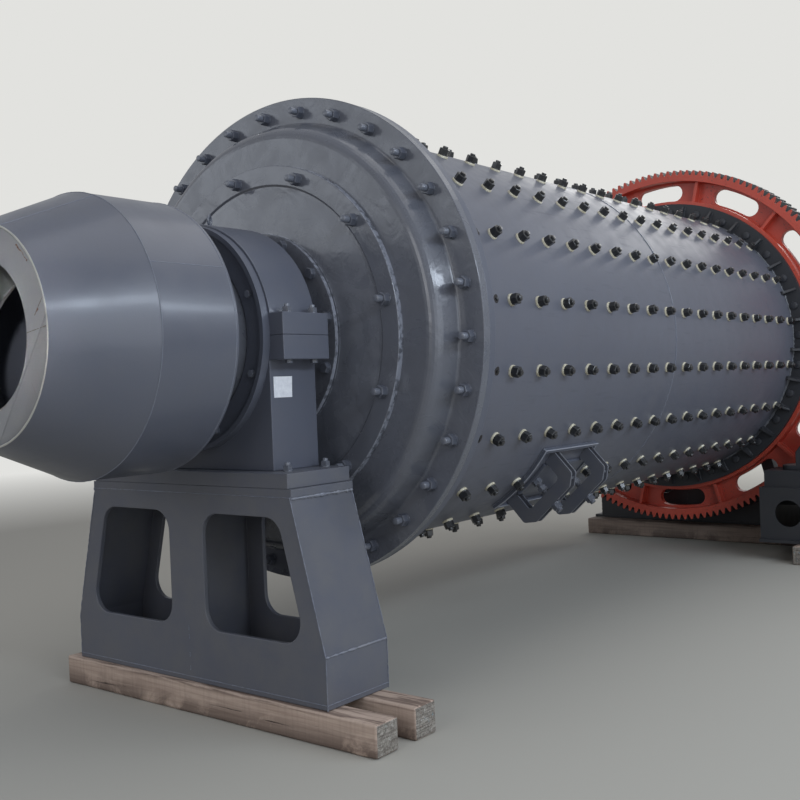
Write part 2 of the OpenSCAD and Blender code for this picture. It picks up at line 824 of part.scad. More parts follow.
module pillow_foot_plate() {
    r = pillow_foot_round;
    translate([-pillow_foot, -pillow_h, pillow_w]) rotate([-90, 0, 0]) linear_extrude(pillow_foot_t)
        polygon(rounded(
            [[0, 0], [2 * pillow_foot, 0], [2 * pillow_foot, pillow_w], [0, pillow_w]], [r, r, r, r], 8));
}

module pillow_block(s) {
    top = -pillow_h + pillow_foot_t + pillow_body_h;
    color(CHARCOAL) on_pinion(s - pillow_w / 2) difference() {
        union() {
            cylinder(h = pillow_w, r = pillow_r);
            linear_extrude(pillow_w) polygon(
                [[-pillow_body, -pillow_h], [pillow_body, -pillow_h], [pillow_body, top],
                    [pillow_r, 0], [-pillow_r, 0], [-pillow_body, top]]);
            pillow_foot_plate();
        }
        translate([0, 0, -CUT]) cylinder(h = pillow_w + 2 * CUT, r = shaft_journal_r + running_gap);
    }
}

module pinion_front_bearing() {
    pillow_block(-pinion_bearing_reach);
}

module pinion_rear_bearing() {
    pillow_block(pinion_bearing_reach);
}

// Outline of the pinion base as seen from the side, shrunk by a wall
function drive_outline(wall) = [
    [-drive_l / 2 + wall, 0], [-drive_l / 2 + wall, drive_h - wall],
    [-drive_l / 2 + drive_seat_l - wall, drive_h - wall],
    [-drive_l / 2 + drive_seat_l - wall, drive_h - drive_dip - wall],
    [drive_l / 2 - drive_seat_l + wall, drive_h - drive_dip - wall],
    [drive_l / 2 - drive_seat_l + wall, drive_h - wall],
    [drive_l / 2 - wall, drive_h - wall], [drive_l / 2 - wall, 0]];

module drive_body(wall, low) {
    translate([0, drive_half_w - wall, low]) rotate([90, 0, 0])
        linear_extrude(2 * (drive_half_w - wall)) polygon(drive_outline(wall));
}

module pinion_base() {
    color(CHARCOAL) on_floor(gear_x) translate([0, pinion_y, timber_h]) {
        difference() {
            union() {
                drive_body(0, 0);
                translate([-drive_l / 2 - drive_foot_lip, -drive_half_w, 0])
                    cube([drive_l + 2 * drive_foot_lip, 2 * drive_half_w, drive_foot_t]);
            }
            drive_body(drive_t, -CUT);
            for (end = [-drive_l / 2, drive_l / 2])
                translate([end - 2 * drive_t, drive_half_w - hand_hole_in, drive_h / 2 + hand_hole_up])
                    rotate([0, 90, 0]) cylinder(h = 4 * drive_t, r = hand_hole_r);
        }
        for (side = [-1, 1])
            translate([side * pinion_bearing_reach - seat_w / 2, -drive_half_w + seat_inset, drive_h - BITE])
                cube([seat_w, 2 * (drive_half_w - seat_inset), seat_h + BITE]);
    }
}

// Drum feeder

// Inside radius of the cone at a distance from its wide end
function cone_in(s) = feeder_r - feeder_t - (feeder_r - mouth_r) * s / cone_l;

module feeder_back_plate() {
    color(MILL_GREY) at_feed(feeder_reach) ring(feeder_r, passage_r, feeder_t);
}

module feeder_drum() {
    color(MILL_GREY) at_feed(feeder_reach + feeder_t)
        ring(feeder_r, feeder_r - feeder_t, feeder_l - feeder_t);
}

module feeder_cone() {
    color(MILL_GREY) at_feed(cone_s) rotate_extrude() polygon(
        [[feeder_r, 0], [mouth_r, cone_l], [cone_in(cone_l), cone_l], [cone_in(0), 0]]);
}

module feeder_mouth() {
    back = cone_l - feeder_t;
    color(PRIMER) at_feed(cone_s) difference() {
        rotate_extrude() polygon(
            [[passage_r, back], [cone_in(back) - SEAT_GAP, back], [cone_in(cone_l) - SEAT_GAP, cone_l],
                [passage_r, cone_l]]);
        rotate([0, 0, scoop_turn]) translate([scoop_edge, -mouth_r, 0])
            cube([mouth_r, 2 * mouth_r, 2 * cone_l]);
    }
}

module feeder_scoop() {
    color(PRIMER) at_feed(cone_s) intersection() {
        rotate_extrude() polygon(
            [[0, 0], [cone_in(0) - SEAT_GAP, 0], [cone_in(cone_l) - SEAT_GAP, cone_l], [0, cone_l]]);
        rotate([0, 0, scoop_turn]) translate([scoop_edge + SEAT_GAP, 0, cone_l])
            rotate([0, scoop_slope, 0])
                translate([feeder_t * tan(scoop_slope), -mouth_r, -feeder_t])
                    cube([mouth_r, 2 * mouth_r, feeder_t]);
    }
}

// The spiral is a ribbon of four corners at each of its steps
spiral_steps = 36;
spiral_l = feeder_l + cone_l - 3 * feeder_t - spiral_t;

function spiral_corners(i) = let (
        s = feeder_t + spiral_l * i / spiral_steps,
        a = -360 * spiral_turns * i / spiral_steps,
        edge = min(feeder_r - feeder_t, cone_in(s + spiral_t - feeder_l)) - weld_gap
    ) [[passage_r * cos(a), passage_r * sin(a), s], [edge * cos(a), edge * sin(a), s],
        [edge * cos(a), edge * sin(a), s + spiral_t], [passage_r * cos(a), passage_r * sin(a), s + spiral_t]];

function spiral_sides(i) = [for (k = [0 : 3]) each let (
        a = 4 * i + k,
        b = 4 * i + (k + 1) % 4
    ) [[a, b, b + 4], [a, b + 4, a + 4]]];

module feeder_spiral() {
    last = 4 * spiral_steps;
    color(MILL_GREY) at_feed(feeder_reach) polyhedron(
        points = [for (i = [0 : spiral_steps]) each spiral_corners(i)],
        faces = concat([[3, 2, 1, 0]], [[last, last + 1, last + 2, last + 3]],
            [for (i = [0 : spiral_steps - 1]) each spiral_sides(i)]));
}

// Manhole

module curved_plate(r0, h, l, span) {
    rotate([0, 0, -span / 2]) translate([0, 0, -l / 2])
        rotate_extrude(angle = span) translate([r0, 0]) square([h, l]);
}

module at_manhole(x = 0) {
    on_axis(manhole_x + x) rotate([0, 0, 180 + manhole_dip]) children();
}

// Angle that a width spans on the shell
function around_shell(w) = w / shell_r * 180 / PI;

module manhole_frame() {
    color(MILL_GREY) at_manhole() difference() {
        curved_plate(shell_r + SEAT_GAP, manhole_bar_h, manhole_l, around_shell(manhole_w));
        curved_plate(shell_r - CUT, manhole_bar_h + 2 * CUT, manhole_l - 2 * manhole_bar,
            around_shell(manhole_w - 2 * manhole_bar));
    }
}

module manhole_door() {
    color(MILL_GREY) at_manhole(door_shift)
        curved_plate(shell_r + SEAT_GAP, door_t, door_l, around_shell(door_w));
}

// Outline of a bridge over the door, drawn in on all sides by an inset
function bridge_outline(inset) = let (
        top = shell_r + bridge_h - inset,
        under = shell_r + bridge_h - bridge_bar + inset,
        half = bridge_half - inset,
        open = bridge_open + inset,
        foot = sqrt(shell_r * shell_r - bridge_half * bridge_half) - CUT,
        r = bridge_bar / 3
    ) concat(rounded(
        [[foot, -half], [top - bridge_slant, -half], [top, -half + bridge_slant_w],
            [top, half - bridge_slant_w], [top - bridge_slant, half], [foot, half]],
        [0, r, r, r, r, 0], 4), rounded(
        [[foot, open], [under, open], [under, -open], [foot, -open]], [0, r, r, 0], 4));

// Plates across the two sides of a bridge: one at each knee and one under the nut of the stud
module bridge_rungs() {
    top = shell_r + bridge_h;
    for (side = [-1, 1]) translate([top, side * bridge_half, -bridge_w / 2])
        rotate([0, 0, 180 + 45 * side]) translate([0, -bridge_t / 2, 0])
            cube([2 * bridge_bar, bridge_t, bridge_w]);
    translate([top - rung_back - bridge_t, -stud_seat / 2, -bridge_w / 2])
        cube([bridge_t, stud_seat, bridge_w]);
}

module bridge(x) {
    color(MILL_GREY) at_manhole(x) {
        difference() {
            for (side = [-1, 1]) translate([0, 0, side * (bridge_w - bridge_t) / 2 - bridge_t / 2])
                linear_extrude(bridge_t) polygon(bridge_outline(0));
            translate([0, 0, -bridge_w]) cylinder(h = 2 * bridge_w, r = shell_r + SEAT_GAP);
        }
        intersection() {
            translate([0, 0, -bridge_w / 2]) linear_extrude(bridge_w)
                polygon(bridge_outline(rung_back));
            bridge_rungs();
        }
        translate([shell_r + door_t + SEAT_GAP, 0, 0]) rotate([0, 90, 0])
            cylinder(h = bridge_h - door_t + stud_over, r = stud_r);
    }
}

module manhole_feed_bridge() {
    bridge(door_shift - bridge_pitch / 2);
}

module manhole_gear_bridge() {
    bridge(door_shift + bridge_pitch / 2);
}

feed_front_timber();
feed_rear_timber();
discharge_front_timber();
discharge_rear_timber();
drive_near_timber();
drive_far_timber();
feed_pedestal();
discharge_pedestal();
feed_sole_plate();
discharge_sole_plate();
feed_bearing_base();
feed_bearing_cap();
feed_bearing_bush();
feed_end_cover();
discharge_bearing_base();
discharge_bearing_cap();
discharge_bearing_bush();
discharge_end_cover();
pinion_base();
pinion_front_bearing();
pinion_rear_bearing();
shell();
shell_liner();
feed_shell_flange();
gear_shell_flange();
feed_head();
discharge_head();
feed_trunnion();
discharge_trunnion();
feed_seal_ring();
discharge_seal_ring();
girth_gear();
manhole_frame();
manhole_door();
manhole_feed_bridge();
manhole_gear_bridge();
feeder_back_plate();
feeder_drum();
feeder_cone();
feeder_mouth();
feeder_scoop();
feeder_spiral();
pinion_gear();
pinion_shaft();
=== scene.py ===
# %% [markdown]
# # A ball mill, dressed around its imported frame
#
# A ball mill is a steel drum that turns on two hollow trunnions and grinds ore with loose steel balls.
# This one waits on timbers in a shop: slate-grey paint, black liner bolts on cream seals, and a red girth gear.
#
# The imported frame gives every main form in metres. This lesson gives those forms their finishes, and adds what is
# too small for the frame: nuts, studs, washers, weld beads and worn timber.

# %% Load the frame
import math
import random

import bmesh
import bpy
from mathutils import Matrix, Vector, noise


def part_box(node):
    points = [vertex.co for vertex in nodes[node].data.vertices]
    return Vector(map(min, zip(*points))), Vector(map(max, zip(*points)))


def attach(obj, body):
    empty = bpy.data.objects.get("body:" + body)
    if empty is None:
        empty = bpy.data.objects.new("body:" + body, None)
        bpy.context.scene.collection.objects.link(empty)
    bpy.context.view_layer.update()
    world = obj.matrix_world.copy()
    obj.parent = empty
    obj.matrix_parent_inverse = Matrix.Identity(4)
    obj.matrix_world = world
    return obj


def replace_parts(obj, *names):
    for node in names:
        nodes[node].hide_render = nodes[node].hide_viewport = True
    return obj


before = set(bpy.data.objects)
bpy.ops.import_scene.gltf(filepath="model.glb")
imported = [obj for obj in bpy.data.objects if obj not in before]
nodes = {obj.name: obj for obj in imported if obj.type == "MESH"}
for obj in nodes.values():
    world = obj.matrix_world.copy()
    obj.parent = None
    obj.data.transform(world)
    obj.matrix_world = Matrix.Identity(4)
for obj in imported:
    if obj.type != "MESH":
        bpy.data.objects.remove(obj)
scene = bpy.context.scene
link = scene.collection.objects.link
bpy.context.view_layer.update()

# %% [markdown]
# ## Landmarks
#
# Every fitting is placed from the boxes of the nodes that carry it, so it stays on them when the frame changes.
# An angle on the mill is counted from the level line on the drive side: 0 is level, 90 is the top.

# %% Stations and radii of the mill
shell_low, shell_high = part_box("shell")
AXIS_Y = (shell_low.y + shell_high.y) / 2
AXIS_Z = round((shell_low.z + shell_high.z) / 2, 4)
SHELL_R = (shell_high.y - shell_low.y) / 2
FEED_FLANGE, GEAR_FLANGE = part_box("feed_shell_flange"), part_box("gear_shell_flange")
FEED_HEAD, GEAR_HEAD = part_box("feed_head"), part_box("discharge_head")
HEAD_FLANGE_T, GEAR_FLANGE_T, TRUNNION_PROUD = 0.045, 0.040, 0.028
GEAR_FLANGE_FACE = GEAR_FLANGE[1].x - GEAR_FLANGE_T
TRUNNION_FLANGE_R, SEAL_RING_R = 0.844, 0.515
MOUTH_X, MOUTH_R, MOUTH_BORE_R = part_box("feeder_mouth")[0].x, 0.429, 0.291
print(f"axis at y {AXIS_Y:.4f}, z {AXIS_Z:.4f}; shell radius {SHELL_R:.3f}")


# %% A point on the mill
def on_mill(station, radius, degrees):
    """A point at a station along the mill, a radius and an angle up from level on the drive side."""
    a = math.radians(degrees)
    return Vector((station, AXIS_Y - radius * math.cos(a), AXIS_Z + radius * math.sin(a)))


def outwards(degrees):
    """The direction away from the mill's axis at that angle."""
    a = math.radians(degrees)
    return Vector((0.0, -math.cos(a), math.sin(a)))


# %% [markdown]
# ## Camera
#
# The camera stands near the feed end, low and close, as the photograph's did. Its place, its turn and its lens were
# solved from the bolt rows, the pedestal and the timbers.

# %% The camera
def rotation(yaw, pitch, roll):
    """Camera axes from a heading (from +Y towards +X), a pitch and a roll, in radians."""
    ahead = Vector((math.sin(yaw) * math.cos(pitch), math.cos(yaw) * math.cos(pitch), math.sin(pitch)))
    level = Vector((math.cos(yaw), -math.sin(yaw), 0.0))
    up = level.cross(ahead)
    right = level * math.cos(roll) + up * math.sin(roll)
    top = up * math.cos(roll) - level * math.sin(roll)
    return Matrix((right, top, -ahead)).transposed()


PHOTO_WIDTH_PX, FOCAL_LENGTH_PX, SENSOR_MM = 800, 1022.18, 36.0
BEFORE_SHELL, BESIDE_AXIS, BELOW_AXIS = 3.7075, 3.6249, 0.2477
YAW, PITCH, ROLL = 0.8991, -0.0138, -0.0397
camera = bpy.data.objects.new("camera", bpy.data.cameras.new("camera"))
camera.data.sensor_width = SENSOR_MM
camera.data.lens = FOCAL_LENGTH_PX / PHOTO_WIDTH_PX * SENSOR_MM
camera.data.clip_start, camera.data.clip_end = 0.05, 200.0
place = Vector((shell_low.x - BEFORE_SHELL, AXIS_Y - BESIDE_AXIS, AXIS_Z - BELOW_AXIS))
camera.matrix_world = Matrix.Translation(place) @ rotation(YAW, PITCH, ROLL).to_4x4()
link(camera)
scene.camera = camera
scene.view_settings.view_transform = "Standard"
print(f"camera at {tuple(round(v, 3) for v in camera.location)}, {camera.data.lens:.1f} mm")


# %% [markdown]
# ## A small kit for shader nodes
#
# A material is a small machine of nodes. These helpers add one node each and plug its inputs, so that a finish can be
# read from top to bottom like a recipe.

# %% Node helpers
def add(tree, kind, sockets, **settings):
    """Adds one shader node, sets it up, and links or fills the named sockets."""
    made = tree.nodes.new("ShaderNode" + kind)
    for name, value in settings.items():
        setattr(made, name, value)
    for name, value in sockets.items():
        if isinstance(value, bpy.types.NodeSocket):
            tree.links.new(value, made.inputs[name])
        else:
            made.inputs[name].default_value = value
    return made


def calc(tree, operation, a, b=0.0, clamp=False):
    """One step of arithmetic."""
    return add(tree, "Math", {0: a, 1: b}, operation=operation, use_clamp=clamp).outputs[0]


def times(tree, a, b):
    return calc(tree, "MULTIPLY", a, b)


def plus(tree, a, b, clamp=False):
    return calc(tree, "ADD", a, b, clamp)


def window(tree, value, low, high, to_low=0.0, to_high=1.0):
    """Stretches the band from low to high of a value over to_low to to_high, and clamps it."""
    return add(tree, "MapRange", {0: value, 1: low, 2: high, 3: to_low, 4: to_high}, clamp=True).outputs[0]


def blend(tree, factor, a, b):
    """Colour a where the factor is 0, colour b where it is 1."""
    return add(tree, "Mix", {0: factor, 6: a, 7: b}, data_type="RGBA").outputs[2]


def grain(tree, vector, scale, detail=4.0, rough=0.55, warp=0.0):
    """A noise value around 0.5."""
    sockets = {"Vector": vector, "Scale": scale, "Detail": detail, "Roughness": rough, "Distortion": warp}
    return add(tree, "TexNoise", sockets).outputs[0]


def stretched(tree, vector, scale, turn=(0.0, 0.0, 0.0)):
    """The same coordinates, squeezed and turned by a Mapping node."""
    return add(tree, "Mapping", {"Vector": vector, "Scale": scale, "Rotation": turn}).outputs[0]


# %% Groups and materials
def new_group(name, inputs, outputs):
    """A shader node group and its two end nodes. Each socket is given as a name and a kind."""
    tree = bpy.data.node_groups.new(name, "ShaderNodeTree")
    for way, sockets in (("INPUT", inputs), ("OUTPUT", outputs)):
        for socket, kind in sockets.items():
            tree.interface.new_socket(name=socket, in_out=way, socket_type="NodeSocket" + kind)
    return tree, tree.nodes.new("NodeGroupInput").outputs, tree.nodes.new("NodeGroupOutput").inputs


def use(tree, group, **sockets):
    """Places a group in a material."""
    return add(tree, "Group", sockets, node_tree=group).outputs


def new_material(name):
    """An empty material, its Principled shader, and the object coordinates."""
    material = bpy.data.materials.new(name)
    material.use_nodes = True
    tree = material.node_tree
    shader = tree.nodes["Principled BSDF"]
    coords = tree.nodes.new("ShaderNodeTexCoord").outputs["Object"]
    return material, tree, shader, coords


def connect(tree, shader, colour, rough, height, depth):
    """Feeds a shader its colour, its roughness and a bump of that depth in metres."""
    tree.links.new(colour, shader.inputs["Base Color"])
    tree.links.new(rough, shader.inputs["Roughness"])
    bump = add(tree, "Bump", {"Height": height, "Distance": depth, "Strength": 1.0})
    tree.links.new(bump.outputs[0], shader.inputs["Normal"])


# %% [markdown]
# ## The sprayed paint
#
# Nearly all of the mill is one sprayed film. It isn't even: clouds where the coat is thicker, a mottle where the
# spray landed dry, faint scuffs from the slings, and a fine peel that softens the highlights. One group makes all
# four, and each paint uses it with its own colours.

# %% The paint group
paint_film, given, out = new_group(
    "paint_film", {"Vector": "Vector", "Colour": "Color", "Shade": "Color", "Dust": "Color",
                   "Mottle": "Float", "Dusting": "Float", "Gloss": "Float", "Scuffs": "Float"},
    {"Colour": "Color", "Roughness": "Float", "Height": "Float"})
tree, at = paint_film, given["Vector"]
clouds = window(tree, grain(tree, at, 1.1, 2.0), 0.36, 0.64)
spatter = grain(tree, at, 9.0)
spray = window(tree, spatter, 0.34, 0.68)
speck = window(tree, grain(tree, at, 95.0, 3.0, 0.7), 0.62, 0.74)
peel = grain(tree, at, 150.0, 1.0)
long_lines = grain(tree, stretched(tree, at, (1.2, 17.0, 9.0), (0.0, 0.35, 0.2)), 3.0, 3.0)
scuffed = times(tree, window(tree, long_lines, 0.62, 0.70), given["Scuffs"])
tone = plus(tree, times(tree, clouds, 0.55), times(tree, spray, 0.45))
film = blend(tree, times(tree, tone, given["Mottle"]), given["Colour"], given["Shade"])
film = blend(tree, times(tree, plus(tree, spray, speck, True), given["Dusting"]), film, given["Dust"])
film = blend(tree, times(tree, scuffed, 0.5), film, given["Shade"])
dull = plus(tree, given["Gloss"], times(tree, spray, 0.10))
dull = plus(tree, dull, times(tree, scuffed, 0.12), True)
bumps = plus(tree, times(tree, peel, 0.20), times(tree, spatter, 1.3))
for socket, value in (("Colour", film), ("Roughness", dull), ("Height", bumps)):
    tree.links.new(value, out[socket])
print("paint_film:", len(tree.nodes), "nodes")

# %% [markdown]
# ## Where on the mill
#
# Grease on the teeth, rust on a rim and chips on a flange all follow circles about the axis. This group turns object
# coordinates into a station along the axis and a radius from it.

# %% The polar group
about_axis, given, out = new_group("about_axis", {"Vector": "Vector"}, {"Station": "Float", "Radius": "Float"})
split = add(about_axis, "SeparateXYZ", {0: given["Vector"]}).outputs
side = calc(about_axis, "SUBTRACT", split["Y"], AXIS_Y)
rise = calc(about_axis, "SUBTRACT", split["Z"], AXIS_Z)
squares = plus(about_axis, times(about_axis, side, side), times(about_axis, rise, rise))
about_axis.links.new(split["X"], out["Station"])
about_axis.links.new(calc(about_axis, "SQRT", squares), out["Radius"])
print("about_axis:", len(about_axis.nodes), "nodes")


# %% [markdown]
# ## Chips
#
# A nut or a sling takes small flakes off the film where an edge stands out. The group makes a scatter of flakes with
# ragged outlines; the material says where they may be.

# %% The chips group
chipped, given, out = new_group("chips", {"Vector": "Vector", "Scale": "Float", "Amount": "Float"}, {"Mask": "Float"})
ragged = grain(chipped, given["Vector"], given["Scale"], 5.0, 0.7)
field = window(chipped, grain(chipped, given["Vector"], 3.1, 2.0), 0.4, 0.6)
level = calc(chipped, "SUBTRACT", 0.86, times(chipped, given["Amount"], field))
chipped.links.new(calc(chipped, "GREATER_THAN", ragged, level), out["Mask"])
print("chips:", len(chipped.nodes), "nodes")


# %% [markdown]
# ## Paints
#
# The same film in each paint: semi-gloss slate on the mill, a harder and darker gloss on the heads, and a dull
# charcoal on everything at the drive end.

# %% Paint materials
FILM_DEPTH, CLEAR_COAT_ROUGH = 0.0006, 0.12


def rgb(red, green, blue):
    """A colour written as on a screen, 0 to 255, turned into the linear colour that shaders use."""
    def linear(value):
        v = value / 255
        return v / 12.92 if v <= 0.04045 else ((v + 0.055) / 1.055) ** 2.4
    return (linear(red), linear(green), linear(blue), 1.0)


def filmed(name, colour, shade, dust, gloss, mottle=0.6, dusting=0.10, scuffs=0.2):
    """A new material with the film placed in it, still to be connected to its shader."""
    material, tree, shader, coords = new_material(name)
    film = use(tree, paint_film, Vector=coords, Colour=rgb(*colour), Shade=rgb(*shade), Dust=rgb(*dust),
               Mottle=mottle, Dusting=dusting, Gloss=gloss, Scuffs=scuffs)
    return material, tree, shader, coords, film


def painted(name, *look, coat=0.0, level=0.5, **more):
    """The film as a paint of its own, with that much clear coat and specular level."""
    material, tree, shader, coords, film = filmed(name, *look, **more)
    connect(tree, shader, film["Colour"], film["Roughness"], film["Height"], FILM_DEPTH)
    shader.inputs["Coat Weight"].default_value = coat
    shader.inputs["Coat Roughness"].default_value = CLEAR_COAT_ROUGH
    shader.inputs["Specular IOR Level"].default_value = level
    return material


SLATE = ((89, 93, 105), (78, 81, 92), (118, 118, 121))
mill_paint = painted("mill_paint", *SLATE, 0.30, scuffs=0.35)
feeder_paint = painted("feeder_paint", *SLATE, 0.285, 0.5, scuffs=0.0, coat=0.15, level=0.65)
shell_paint = painted("shell_paint", (94, 97, 108), (84, 86, 96), (124, 122, 123), 0.34, scuffs=0.6)
plate_paint = painted("plate_paint", (91, 94, 104), (80, 82, 91), (118, 116, 112), 0.36, 0.5, 0.25)
bolt_paint = painted("bolt_paint", (84, 88, 99), (68, 71, 80), (120, 122, 128), 0.28, coat=0.3)
stud_paint = painted("stud_paint", (106, 110, 121), (82, 86, 95), (136, 137, 140), 0.26, coat=0.3)
# Painted highlight: the two weld paints are lighter than the plates, to stand for lit beads.
weld_highlight_paint = painted("weld_highlight_paint", (112, 117, 131), (92, 96, 108), (140, 140, 142), 0.30, dusting=0.3)
broad_weld_highlight = painted("broad_weld_highlight", (128, 132, 144), (92, 95, 106), (170, 171, 175), 0.30, 1.0, 0.4)
# Painted highlight: a lighter paint for rounded plate edges.
edge_highlight_paint = painted("edge_highlight_paint", (146, 150, 160), (112, 116, 126), (172, 173, 176), 0.30, dusting=0.4)
charcoal = painted("charcoal", (46, 48, 53), (38, 39, 43), (74, 72, 70), 0.46, dusting=0.16)
charcoal_bolt = painted("charcoal_bolt", (52, 54, 60), (40, 41, 45), (86, 84, 82), 0.36)
# A paler charcoal: on stud ends and small bolts it is the paint's own tone; on rounded edges and welds a painted
# highlight.
pale_charcoal_and_highlight = painted("pale_charcoal_and_highlight", (98, 102, 110), (64, 66, 72), (130, 130, 130), 0.34, dusting=0.4)
black_bolt = painted("black_bolt", (36, 37, 39), (26, 26, 28), (70, 70, 70), 0.28, dusting=0.2, coat=0.3)
pale_primer = painted("pale_primer", (176, 176, 170), (150, 149, 143), (196, 193, 184), 0.50, 0.8, 0.4)
print("fourteen paints")


# %% [markdown]
# ## Cast heads
#
# The cast head and trunnion carry a thick coat, glossy and blotchy, with small chips on the standing edge of the
# trunnion flange. Lighter blotches on the trunnion's neck are a painted reflection, and thin lighter lines on the
# rims of the trunnion flange and the seal ring are a painted highlight.

# %% The head paint
def near_radius(tree, radius, centre, full, none):
    """1 close to a radius, 0 further off."""
    off = calc(tree, "ABSOLUTE", calc(tree, "SUBTRACT", radius, centre))
    return window(tree, off, full, none, 1.0, 0.0)


head_paint, tree, shader, coords, film = filmed(
    "head_paint", (98, 101, 110), (82, 85, 93), (124, 124, 128), 0.19, 0.8)
radius = use(tree, about_axis, Vector=coords)["Radius"]
ripple = grain(tree, coords, 5.5, 3.0, 0.5, 1.4)
blotch = window(tree, grain(tree, coords, 6.5, 5.0, 0.6, 0.8), 0.42, 0.62)
on_neck = window(tree, radius, 0.73, 0.76, 1.0, 0.0)
# Painted reflection: lighter blotches on the trunnion's neck.
colour = blend(tree, times(tree, times(tree, blotch, on_neck), 0.35), film["Colour"], rgb(112, 115, 123))
# Painted highlight: thin ragged lighter lines on the rims of the trunnion flange and the seal ring.
rim_highlight = calc(tree, "MAXIMUM", near_radius(tree, radius, TRUNNION_FLANGE_R, 0.0005, 0.0032),
              near_radius(tree, radius, SEAL_RING_R, 0.001, 0.005))
torn = window(tree, grain(tree, coords, 30.0, 4.0, 0.6), 0.40, 0.52)
colour = blend(tree, times(tree, rim_highlight, torn), colour, rgb(142, 146, 157))
flakes = use(tree, chipped, Vector=coords, Scale=46.0, Amount=0.24)["Mask"]
at_edge = near_radius(tree, radius, TRUNNION_FLANGE_R, 0.004, 0.020)
colour = blend(tree, times(tree, flakes, at_edge), colour, rgb(58, 52, 50))
rough = plus(tree, film["Roughness"], times(tree, blotch, 0.14), True)
on_ring = times(tree, window(tree, radius, 0.725, 0.735), window(tree, radius, 0.85, 0.84))
rough = calc(tree, "SUBTRACT", rough, times(tree, on_ring, 0.10), True)
waves = plus(tree, times(tree, ripple, 2.2), times(tree, film["Height"], 0.5))
connect(tree, shader, colour, rough, waves, 0.0022)
shader.inputs["Coat Weight"].default_value = 0.45
shader.inputs["Coat Roughness"].default_value = 0.08
print("head_paint:", len(tree.nodes), "nodes")

# %% [markdown]
# ## Red girth gear
#
# The gear is orange-red on its web, ribs and end faces. The cut faces of the teeth carry dark grease: that is what
# lies between the two end faces and outside the tooth roots.

# %% The gear paint
gear_low, gear_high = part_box("girth_gear")
TOOTH_ROOT_R, OVERSPRAY = 1.4355, 0.003
gear_paint, tree, shader, coords, film = filmed(
    "gear_paint", (200, 77, 58), (172, 63, 48), (210, 114, 94), 0.285, 0.7, 0.14, 0.3)
where = use(tree, about_axis, Vector=coords)
between = times(tree, calc(tree, "GREATER_THAN", where["Station"], gear_low.x + OVERSPRAY),
                calc(tree, "LESS_THAN", where["Station"], gear_high.x - OVERSPRAY))
toothed = times(tree, between, calc(tree, "GREATER_THAN", where["Radius"], TOOTH_ROOT_R - OVERSPRAY))
greased = times(tree, toothed, window(tree, grain(tree, coords, 14.0, 5.0, 0.65), 0.30, 0.42))
soiled = window(tree, grain(tree, coords, 22.0, 6.0, 0.7, 0.3), 0.60, 0.74)
colour = blend(tree, times(tree, soiled, 0.45), film["Colour"], rgb(104, 44, 32))
scraped = use(tree, chipped, Vector=coords, Scale=60.0, Amount=0.26)["Mask"]
colour = blend(tree, times(tree, scraped, 0.8), colour, rgb(70, 60, 56))
colour = blend(tree, greased, colour, rgb(66, 69, 68))
rough = blend(tree, greased, film["Roughness"], (0.52, 0.52, 0.52, 1.0))
connect(tree, shader, colour, rough, film["Height"], 0.0008)
print("gear_paint:", len(tree.nodes), "nodes")

# %% [markdown]
# ## Primer, steel and bronze
#
# The feeder's mouth is only primed: a pale grey with rust that creeps in from its cut rim and runs down in thin
# streaks. The pinion and its shaft are bare and oiled, and the bushes are turned bronze.

# %% The primer
primer, tree, shader, coords, film = filmed(
    "primer", (138, 139, 142), (122, 123, 126), (172, 171, 168), 0.55, 0.8, 0.25)
radius = use(tree, about_axis, Vector=coords)["Radius"]
rim = window(tree, radius, MOUTH_R - 0.022, MOUTH_R - 0.002)
lip = window(tree, radius, MOUTH_BORE_R + 0.009, MOUTH_BORE_R)
patchy = window(tree, grain(tree, coords, 26.0, 6.0, 0.7, 0.5), 0.52, 0.62)
rust = times(tree, calc(tree, "MAXIMUM", rim, lip), times(tree, patchy, 0.55))
drips = window(tree, grain(tree, stretched(tree, coords, (30.0, 60.0, 3.0)), 1.0, 3.0), 0.68, 0.74)
rust = calc(tree, "MAXIMUM", rust, times(tree, drips, 0.30))
colour = blend(tree, rust, film["Colour"], rgb(112, 92, 76))
rough = plus(tree, film["Roughness"], times(tree, rust, 0.3), True)
connect(tree, shader, colour, rough, film["Height"], 0.0012)
print("primer:", len(tree.nodes), "nodes")


# %% Bare metals
def bare_metal(name, colour, stain, rough, scratch):
    """Machined metal: fine turning marks, dark stains and a trace of oil."""
    material, tree, shader, coords = new_material(name)
    lines = grain(tree, stretched(tree, coords, scratch), 1.0, 3.0)
    stains = window(tree, grain(tree, coords, 7.0, 5.0, 0.65, 0.4), 0.46, 0.66)
    tone = blend(tree, stains, rgb(*colour), rgb(*stain))
    dullness = plus(tree, times(tree, stains, 0.25), plus(tree, rough, times(tree, lines, 0.12)), True)
    connect(tree, shader, tone, dullness, lines, 0.0004)
    shader.inputs["Metallic"].default_value = 0.85
    return material


oiled_steel = bare_metal("oiled_steel", (150, 150, 152), (92, 88, 84), 0.24, (700.0, 30.0, 30.0))
pinion_steel = bare_metal("pinion_steel", (96, 94, 92), (50, 48, 46), 0.28, (40.0, 300.0, 300.0))
liner_steel = bare_metal("liner_steel", (92, 86, 82), (84, 62, 48), 0.50, (24.0, 90.0, 90.0))
bush_bronze = bare_metal("bush_bronze", (176, 142, 92), (120, 92, 58), 0.30, (600.0, 30.0, 30.0))
print("four bare metals")

# %% [markdown]
# ## Timber
#
# The mill rests on rough sawn baulks: pinkish brown, with long fibres, saw marks, dark wet patches along the foot, and
# rough grey end grain touched with blue-green chalk. The pair at the discharge end is dark with oil.


